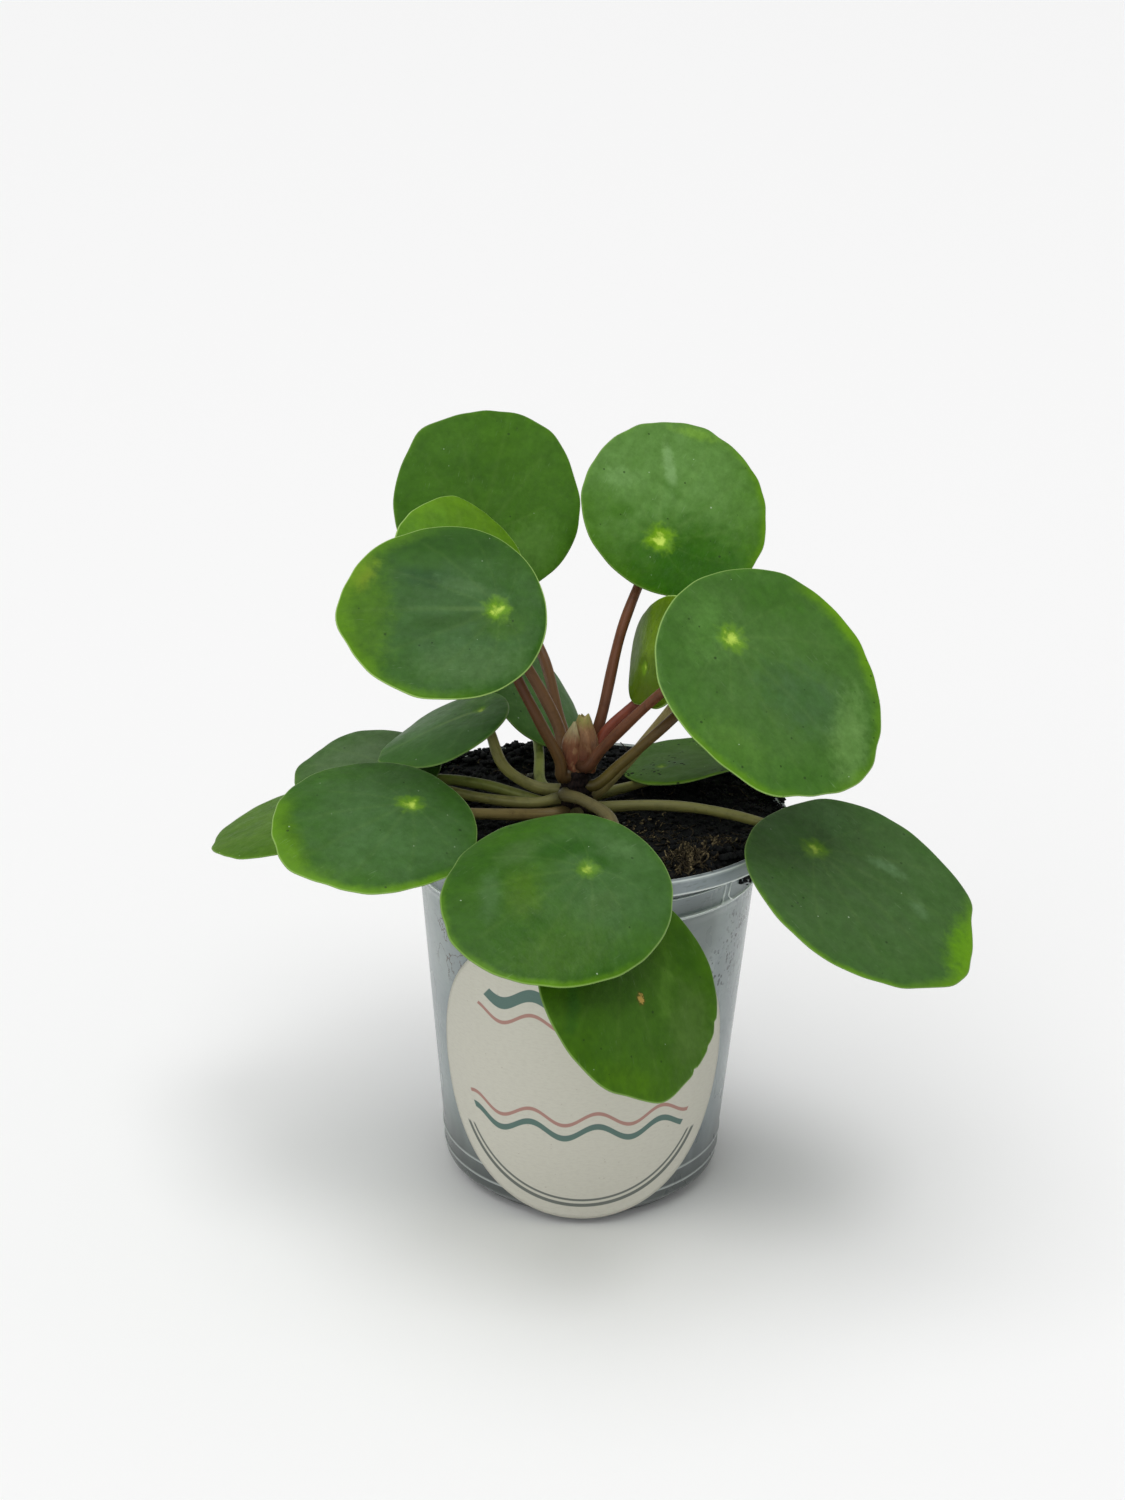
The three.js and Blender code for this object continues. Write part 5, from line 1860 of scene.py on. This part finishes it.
@dataclass
class Soil:
    """The potting mix: a rough top, crumbs, fibres, moss and white grit, over a plain filled body.

    The coarse and fine roughness are each a pitch and a rise. A heap is its middle, its reach and
    its rise. Crumbs also stick to the collar, about a compass angle and a height, and lie on the
    lip, where each patch is an angle, a spread and a number.
    """

    level: float = 114.9
    rim: float = 58.3
    shelf: float = 114.3
    base: float = 1.5
    wall_gap: float = 0.25
    rings: int = 120
    points_round: int = 260
    heaps: tuple[tuple[float, float, float, float], ...] = (
        (36, -36, 13, 3.2), (19, -26, 8, 1.4), (-24, 46, 13, 2.4), (12, 50, 12, 1.2), (-4, -2, 16, -0.9),
    )
    coarse: Pair = (0.16, 1.1)
    fine: Pair = (0.7, 0.45)
    crumbs: int = 2600
    brown_share: float = 0.06
    largest_crumb: float = 2.0
    lumps: tuple[Scatter, ...] = (
        Scatter(Crumb.PEAT, 90, (-23, 49), 9, (0.8, 1.9), 0.5),
        Scatter(Crumb.PEAT, 50, (12, 53), 8, (0.8, 1.7), 0.4),
        Scatter(Crumb.PEAT, 90, (33, -34), 7, (0.7, 1.8), 0.6),
        Scatter(Crumb.PEAT, 40, (44, 22), 9, (0.8, 1.6)),
        Scatter(Crumb.PEAT, 60, (-22, 54), 5, (0.7, 1.6), 1.4),
        Scatter(Crumb.GRIT, 3, (43, -22.6), 1, (0.4, 0.8)),
        Scatter(Crumb.GRIT, 7, (-18.6, 31.5), 2.5, (0.6, 1.3)),
        Scatter(Crumb.BROWN, 40, (31, -37), 4, (0.5, 1.3), 0.8),
        Scatter(Crumb.GRIT, 12, (0, 0), 30, (0.3, 0.6)),
        Scatter(Crumb.BROWN, 30, (53, 17), 5, (0.4, 1.0), 0.8),
        Scatter(Crumb.PEAT, 40, (-42, 30), 8, (0.8, 1.6)),
    )
    strands: tuple[Scatter, ...] = (
        Scatter(Crumb.FIBRE, 260, (28.5, -39.5), 3.2, (1.0, 3.4), 1.8),
        Scatter(Crumb.FIBRE, 120, (37.5, -27), 3.0, (1.0, 3.6), 1.3),
        Scatter(Crumb.MOSS, 120, (28.5, -39.5), 3.0, (0.8, 3.2), 2.0),
        Scatter(Crumb.MOSS, 40, (37, -28), 2.8, (1.0, 3.4), 1.5),
        Scatter(Crumb.FIBRE, 90, (22, -27), 8, (1.0, 4.0), 0.8),
        Scatter(Crumb.FIBRE, 70, (-24, 49), 8, (1.0, 3.0), 0.9),
        Scatter(Crumb.FIBRE, 190, (0, 0), 34, (2.0, 9.0), 0.5),
        Scatter(Crumb.MOSS, 60, (14, -12), 6, (1.0, 2.5), 0.5),
    )
    moss_thickness: Pair = (0.12, 0.34)
    fibre_thickness: Pair = (0.1, 0.26)
    fibre_bend: float = 2.6
    fibre_steps: int = 6
    fibre_sides: int = 4
    wall_crumbs: int = 36
    wall_angle: Pair = (-25, 3.0)
    wall_height: Pair = (105.4, 1.5)
    wall_radius: float = 51.7
    wall_sizes: Pair = (0.3, 0.9)
    rim_crumbs: tuple[tuple[float, float, int], ...] = ((16, 5, 60), (137, 12, 130))
    rim_radii: Pair = (57.0, 59.6)
    rim_heights: Pair = (116.6, 117.6)
    rim_sizes: Pair = (0.4, 1.2)
    seed: int = 21

    def height(self, x: float, y: float) -> float:
        """The rough surface's height.

        Args:
            x: the place to the right.
            y: the place to the back.

        Returns:
            The height there.
        """
        z = self.level
        inside = 0.3 + 0.7 * float(smooth_step(self.rim, self.rim - 3, math.hypot(x, y)))
        for hx, hy, radius, rise in self.heaps:
            z += inside * rise * math.exp(-((x - hx) ** 2 + (y - hy) ** 2) / radius ** 2)
        coarse = noise.fractal(Vector((x, y, 0)) * self.coarse[0], 1.0, 2.0, 4)
        fine = noise.fractal(Vector((x, y, 40)) * self.fine[0], 0.8, 2.0, 3)
        return z + (self.coarse[1] * coarse + self.fine[1] * fine) * inside

    def top(self) -> Array:
        """The rough top, in rings from the rim inwards.

        Returns:
            An array of rings by points by 3.
        """
        rings = []
        for radius in np.linspace(self.rim, 0.6, self.rings):
            ring = []
            for step in range(self.points_round):
                angle = math.tau * step / self.points_round
                x, y = radius * math.cos(angle), radius * math.sin(angle)
                ring.append((x, y, self.height(x, y)))
            rings.append(ring)
        return np.array(rings)

    def body(self, pot: Pot) -> Solid:
        """The filled body under the top.

        Args:
            pot: the pot that it fills.

        Returns:
            Its points and faces.
        """
        wall = pot.wall + self.wall_gap
        outline = ((pot.base_radius - 0.6, self.base), (pot.chamfer[0] - wall, 4.6),
                   (pot.body_foot[0] - wall, 7.4), (pot.body_radius(50) - wall, 50.0),
                   (pot.body_top[0] - wall, 100.0), (pot.collar_foot - wall, 102.6),
                   (pot.collar_top - wall, self.shelf), (self.rim, self.shelf))
        rings = np.concatenate([lathe(outline, self.points_round), self.top()])
        return closed_tube(rings, np.array([0, 0, self.base]), np.array([0, 0, self.height(0, 0)]))

    def lump(self, draw: random.Random, place: Point, size: float) -> Solid:
        """An angular crumb: an icosahedron with its corners moved at random.

        Args:
            draw: the random source.
            place: its middle.
            size: its radius.

        Returns:
            Its points and faces.
        """
        stretch = Vector((draw.uniform(0.7, 1.4), draw.uniform(0.6, 1.1), draw.uniform(0.5, 0.9)))
        turn = Euler((draw.uniform(0, 6), draw.uniform(0, 6), draw.uniform(0, 6))).to_matrix()
        points = []
        for corner in LUMP_CORNERS:
            moved = turn @ (corner * draw.uniform(0.7, 1.15) * size)
            points.append((place[0] + moved.x * stretch.x, place[1] + moved.y * stretch.y,
                           place[2] + moved.z * stretch.z))
        return points, LUMP_FACES

    def fibre(self, draw: random.Random, place: Point, reach: float, radius: float, rise: float) -> Solid:
        """A thin bent root, coir fibre or strand of moss.

        Args:
            draw: the random source.
            place: its middle.
            reach: its length.
            radius: its thickness.
            rise: how steeply it stands.

        Returns:
            Its points and faces.
        """
        heading = draw.uniform(0, math.tau)
        bend = draw.uniform(-self.fibre_bend, self.fibre_bend)
        climb = draw.uniform(-rise, rise)
        path = []
        for step in range(self.fibre_steps + 1):
            share = step / self.fibre_steps - 0.5
            turn = heading + bend * share
            lift = reach * (climb * share + 0.06 * math.sin(3 * share + heading))
            path.append((place[0] + share * reach * math.cos(turn), place[1] + share * reach * math.sin(turn),
                         place[2] + lift + draw.uniform(-0.1, 0.1)))
        path = np.array(path)
        angles = round_angles(self.fibre_sides)
        rings = np.array([[at + radius * (math.cos(a) * side + math.sin(a) * up) for a in angles]
                          for at, side, up in zip(path, *carried_frames(path))])
        return closed_tube(rings, path[0], path[-1])

    def spot(self, draw: random.Random, patch: Scatter) -> Pair:
        """A random place on the soil within a patch.

        Args:
            draw: the random source.
            patch: the patch.

        Returns:
            The place.
        """
        while True:
            x, y = draw.gauss(patch.middle[0], patch.reach), draw.gauss(patch.middle[1], patch.reach)
            if math.hypot(x, y) < self.rim - 0.8:
                return x, y

    def build(self, pot: Pot) -> list[Piece]:
        """Build the soil and what lies on it.

        Args:
            pot: the pot that it fills.

        Returns:
            The soil's object and its litter's.
        """
        draw = random.Random(self.seed)
        mix, litter = MeshParts(), MeshParts()
        mix.extend(*self.body(pot), Crumb.PEAT.value)
        for _ in range(self.crumbs):
            radius, angle = (self.rim - 1.0) * math.sqrt(draw.random()), draw.uniform(0, math.tau)
            x, y = radius * math.cos(angle), radius * math.sin(angle)
            size = min(self.largest_crumb, 0.3 + abs(draw.gauss(0, 0.5)))
            kind = Crumb.BROWN if draw.random() < self.brown_share else Crumb.PEAT
            mix.extend(*self.lump(draw, (x, y, self.height(x, y) + size * 0.25), size), kind.value)
        for patch in self.lumps:
            for _ in range(patch.count):
                x, y = self.spot(draw, patch)
                size = draw.uniform(*patch.sizes)
                place = (x, y, self.height(x, y) + size * patch.lift)
                litter.extend(*self.lump(draw, place, size), patch.kind.value)
        for patch in self.strands:
            thick = self.moss_thickness if patch.kind is Crumb.MOSS else self.fibre_thickness
            for _ in range(patch.count):
                x, y = self.spot(draw, patch)
                place = (x, y, self.height(x, y) + draw.uniform(0.0, patch.lift))
                strand = self.fibre(draw, place, draw.uniform(*patch.sizes), draw.uniform(*thick), patch.lift)
                litter.extend(*strand, patch.kind.value)
        self._pot_crumbs(draw, litter)
        finishes = self._finishes()
        return [make_piece("soil_mix", mix, finishes[:2], "soil"),
                make_piece("soil_litter", litter, finishes, None)]

    def _finishes(self) -> list[Material]:
        """Build the materials of the soil and its litter.

        Returns:
            The materials in the order of Crumb.
        """
        return [finish.make() for finish in (
            GroundFinish("soil_peat", linear(9, 12, 14), linear(30, 31, 31)),
            GroundFinish("soil_brown", linear(13, 12, 10), linear(46, 39, 29)),
            GroundFinish("soil_grit", linear(120, 118, 110), linear(184, 182, 176), 0.7, specular=0.4),
            GroundFinish("soil_fibre", linear(34, 29, 20), linear(118, 104, 74)),
            GroundFinish("soil_moss", linear(56, 48, 30), linear(204, 184, 138), scale=0.4))]

    def _pot_crumbs(self, draw: random.Random, litter: MeshParts) -> None:
        """Add the crumbs that stick to the outside of the pot's collar and lie on its lip.

        Args:
            draw: the random source.
            litter: the parts to add to.
        """
        for _ in range(self.wall_crumbs):
            angle, height = math.radians(draw.gauss(*self.wall_angle)), draw.gauss(*self.wall_height)
            place = (self.wall_radius * math.cos(angle), self.wall_radius * math.sin(angle), height)
            litter.extend(*self.lump(draw, place, draw.uniform(*self.wall_sizes)), Crumb.PEAT.value)
        for middle, spread, count in self.rim_crumbs:
            for _ in range(count):
                angle, radius = math.radians(draw.gauss(middle, spread)), draw.uniform(*self.rim_radii)
                place = (radius * math.cos(angle), radius * math.sin(angle), draw.uniform(*self.rim_heights))
                litter.extend(*self.lump(draw, place, draw.uniform(*self.rim_sizes)), Crumb.PEAT.value)


@dataclass
class Trunk:
    """The short woody stem with its leaf scars."""

    sides: int = 56
    rings: int = 80
    inset: float = 0.15
    scar_depth: float = 0.22
    bark_depth: float = 0.42

    def build(self) -> Piece:
        """Build the trunk.

        Returns:
            The trunk's object.
        """
        rings = []
        for step in range(self.rings + 1):
            height = between(STEM.foot, STEM.top, step / self.rings)
            share = max(0.0, (height - STEM.collar) / (STEM.top - STEM.collar))
            base = between(STEM.foot_radius, STEM.top_radius, share)
            ring = []
            for side in range(self.sides):
                angle = math.tau * side / self.sides
                out = Vector((math.cos(angle), math.sin(angle), 0))
                rough = noise.fractal(Vector((out.x * 2.4, out.y * 2.4, height * 0.42)), 0.9, 2.0, 4)
                scar = self.scar_depth * math.sin(height * 2.3 + 1.4 * math.sin(angle * 2))
                radius = base - self.inset + (self.bark_depth * rough + scar) * min(1.0, share * 6)
                ring.append((STEM.axis[0] + radius * out.x, STEM.axis[1] + radius * out.y, height))
            rings.append(ring)
        foot, top = np.array([*STEM.axis, STEM.foot]), np.array([*STEM.axis, STEM.top + 0.3])
        parts = MeshParts().extend(*closed_tube(np.array(rings), foot, top))
        return make_piece("trunk_bark", parts, [BarkFinish().make()], "trunk")


@dataclass(frozen=True)
class BudScale:
    """One papery scale: where it stands, its size, how it leans, its top's width and its horns."""

    facing: float
    foot: Point
    height: float
    width: float
    wrap: float
    lean: float
    sway: float
    top: float
    horn: float
    finish: ScaleFinish


@dataclass
class Bud:
    """The growing point in its papery scales, which stand round a slim core."""

    across: int = 22
    up: int = 30
    thickness: float = 0.3
    keel: float = 0.35
    folds: Pair = (0.22, 0.12)
    crumples: Pair = (0.1, 0.07)
    horn_place: float = 0.7
    horn_reach: float = 0.22
    core_axis: Pair = (-2.6, -2.0)
    core_top: float = 146.0
    core_sides: int = 24
    core_outline: tuple[Pair, ...] = (
        (3.2, 129.9), (3.2, 133), (3.2, 137), (2.6, 141), (1.4, 145))
    scales: tuple[BudScale, ...] = (
        BudScale(280, (-0.9, -2.2, 129.8), 16.6, 8.6, 3.6, 0.2, -1.4, 0.5, 1.7,
                 ScaleFinish("bud_scale_right")),
        BudScale(95, (-1.4, -1.2, 130.0), 15.4, 8.0, 3.5, -0.1, 0.0, 0.4, 1.2,
                 ScaleFinish("bud_scale_back", linear(112, 66, 44), linear(136, 108, 66))),
        BudScale(246, (-4.9, -2.3, 129.8), 15.9, 7.8, 3.2, 0.5, 1.5, 0.1, 0.3,
                 ScaleFinish("bud_scale_left", linear(124, 74, 52), linear(146, 104, 74),
                             linear(180, 176, 132), 0.55)),
        BudScale(345, (-1.4, -2.0, 129.8), 12.0, 7.2, 3.5, 0.3, 0.0, 0.3, 0.8,
                 ScaleFinish("bud_scale_side", linear(100, 58, 38), linear(126, 88, 56))),
        BudScale(150, (-4.6, -1.4, 129.8), 11.0, 6.8, 3.2, 0.3, 0.0, 0.2, 0.4,
                 ScaleFinish("bud_scale_rear", linear(104, 66, 44), linear(128, 104, 62))),
    )

    def sheet(self, scale: BudScale) -> tuple[Array, Array]:
        """A scale's outer face.

        Args:
            scale: the scale.

        Returns:
            Its points and its outward directions, each as rows up by columns across.
        """
        v, u = np.meshgrid(np.linspace(0, 1, self.up), np.linspace(-1, 1, self.across), indexing="ij")
        widths = (0.62, 0.92, 1, 0.3 + 0.7 * scale.top ** 0.5, scale.top)
        half = scale.width / 2 * np.interp(v, (0, 0.3, 0.6, 0.8, 1), widths)
        bend = u * half / scale.wrap
        belly = scale.wrap * np.interp(v, (0, 0.3, 0.62, 0.82, 1), (0.8, 1.0, 1.02, 0.8, 0.5))
        keel = self.keel * (1 - np.abs(u)) * np.sin(np.pi * np.minimum(1, v * 1.1))
        out = belly * np.cos(bend) + scale.lean * v * 2 + keel
        across = scale.wrap * np.sin(bend) + scale.sway * smooth_step(0.45, 1.0, v)
        turn = math.radians(scale.facing)
        ahead = np.array([math.cos(turn), math.sin(turn), 0])
        right = np.array([-ahead[1], ahead[0], 0])
        points = np.array(scale.foot) + out[..., None] * ahead + across[..., None] * right
        peaks = swell(u - self.horn_place, self.horn_reach) + swell(u + self.horn_place, self.horn_reach)
        broad, narrow = self.folds
        folds = broad * np.sin(u * 5 + v * 7 + scale.facing) + narrow * np.sin(u * 11 - v * 9)
        points = points + (folds * np.sin(np.pi * v))[..., None] * ahead
        broad, narrow = self.crumples
        crumple = broad * np.sin(u * 7 + v * 9) + narrow * np.sin(u * 17 - v * 5)
        lift = v * scale.height + scale.horn * peaks * v ** 10 + crumple
        points = points + lift[..., None] * np.array([0, 0, 1])
        return points, np.cos(bend)[..., None] * ahead + np.sin(bend)[..., None] * right

    def build(self) -> Piece:
        """Build the bud: a slim core and its scales.

        Returns:
            The bud's object.
        """
        parts = MeshParts()
        place = []
        around = np.concatenate([np.linspace(-1, 1, self.across), np.linspace(1, -1, self.across)])
        rows = np.meshgrid(around, np.linspace(0, 1, self.up))
        grid = np.concatenate([[[0, 0]], np.stack(rows, axis=-1).reshape(-1, 2), [[0, 1]]])
        for number, scale in enumerate(self.scales):
            outer, normals = self.sheet(scale)
            inner = outer - self.thickness * normals
            rings = np.concatenate([outer, inner[:, ::-1]], axis=1)
            points, faces = closed_tube(rings, rings[0].mean(axis=0), rings[-1].mean(axis=0))
            parts.extend(points, faces, number)
            place.append(np.column_stack([grid, np.full(len(grid), number * 3.0)]))
        middle = self.core_axis
        rings = lathe(self.core_outline, self.core_sides, middle)
        foot = np.array([*middle, self.core_outline[0][1]])
        core, faces = closed_tube(rings, foot, np.array([*middle, self.core_top]))
        parts.extend(core, faces, 0)
        place.append(np.tile([0.0, 0.3, 0.0], (len(core), 1)))
        finishes = [scale.finish.make() for scale in self.scales]
        return make_piece("bud_scales", parts, finishes, "bud",
                          {"scale_place": np.concatenate(place)})


@dataclass(frozen=True)
class SkyPanel:
    """One wide patch of sky: where its light comes from, how many degrees it spans, its strength."""

    name: str
    toward: Point
    spread: float
    power: float

    def build(self) -> None:
        """Hang the light."""
        data = bpy.data.lights.new(self.name, "SUN")
        data.energy = self.power
        data.angle = math.radians(self.spread)
        lamp = put_in_scene(self.name, data)
        lamp.matrix_world = (-Vector(self.toward)).to_track_quat("-Z", "Y").to_matrix().to_4x4()


@dataclass
class Studio:
    """A pale floor, soft lights and the camera at the photograph's angle."""

    lens: float = 52.8
    sensor: float = 36.0
    eye: Point = (1.6, -613.5, 355.0)
    yaw: float = -0.9
    pitch: float = 19.71
    roll: float = 1.06
    ambient: float = 0.42
    floor_reach: float = 40.0
    floor_tone: float = 0.94
    panels: tuple[SkyPanel, ...] = (
        SkyPanel("overhead", (-0.2, -0.12, 1.0), 62.0, 1.3),
        SkyPanel("window", (0.22, -0.3, 0.93), 24.0, 0.45),
        SkyPanel("front_fill", (-0.5, -1.0, 0.55), 50.0, 0.45),
    )

    def camera(self) -> None:
        """Place the camera."""
        yaw, pitch, roll = map(math.radians, (self.yaw, self.pitch, self.roll))
        ahead = Vector((math.sin(yaw) * math.cos(pitch), math.cos(yaw) * math.cos(pitch), -math.sin(pitch)))
        level = Vector((math.cos(yaw), -math.sin(yaw), 0))
        above = level.cross(ahead)
        right = math.cos(roll) * level + math.sin(roll) * above
        up = -math.sin(roll) * level + math.cos(roll) * above
        data = bpy.data.cameras.new("camera")
        data.lens = self.lens
        data.sensor_width = self.sensor
        data.clip_start = 0.01
        camera = put_in_scene("camera", data)
        columns = Matrix((right, up, -ahead)).transposed()
        camera.matrix_world = Matrix.Translation(Vector(self.eye) * MM) @ columns.to_4x4()
        bpy.context.scene.camera = camera

    def floor(self) -> None:
        """Lay the pale floor."""
        mesh = bpy.data.meshes.new("floor")
        reach = self.floor_reach
        mesh.from_pydata([(-reach, -reach, 0), (reach, -reach, 0), (reach, reach, 0), (-reach, reach, 0)],
                         [], [(0, 1, 2, 3)])
        mesh.materials.append(Skin("floor_pale", (self.floor_tone,) * 3).finish(0.8))
        ground = put_in_scene("floor", mesh)

    def build(self) -> None:
        """Set up the studio."""
        world = bpy.data.worlds.new("studio")
        world.use_nodes = True
        background = world.node_tree.nodes["Background"]
        background.inputs["Color"].default_value = (1.0, 1.0, 1.0, 1.0)
        background.inputs["Strength"].default_value = self.ambient
        bpy.context.scene.world = world
        bpy.context.scene.view_settings.view_transform = "Standard"
        self.floor()
        for panel in self.panels:
            panel.build()
        self.camera()


def report(piece: Piece) -> None:
    """Log a piece's name and its number of faces."""
    log.info("%s: %d faces", piece.name, len(piece.data.polygons))


def main() -> None:
    """Build every piece of the plant and its pot, then the studio."""
    logging.basicConfig(level=logging.INFO, format="%(message)s")
    Studio().build()
    pot = Pot()
    report(pot.build())
    report(Label(pot).build())
    for ground in Soil().build(pot):
        report(ground)
    report(Trunk().build())
    report(Bud().build())
    for leaf in LEAVES:
        report(leaf.stalk_piece())
        report(leaf.blade())


if __name__ == "__main__":
    main()
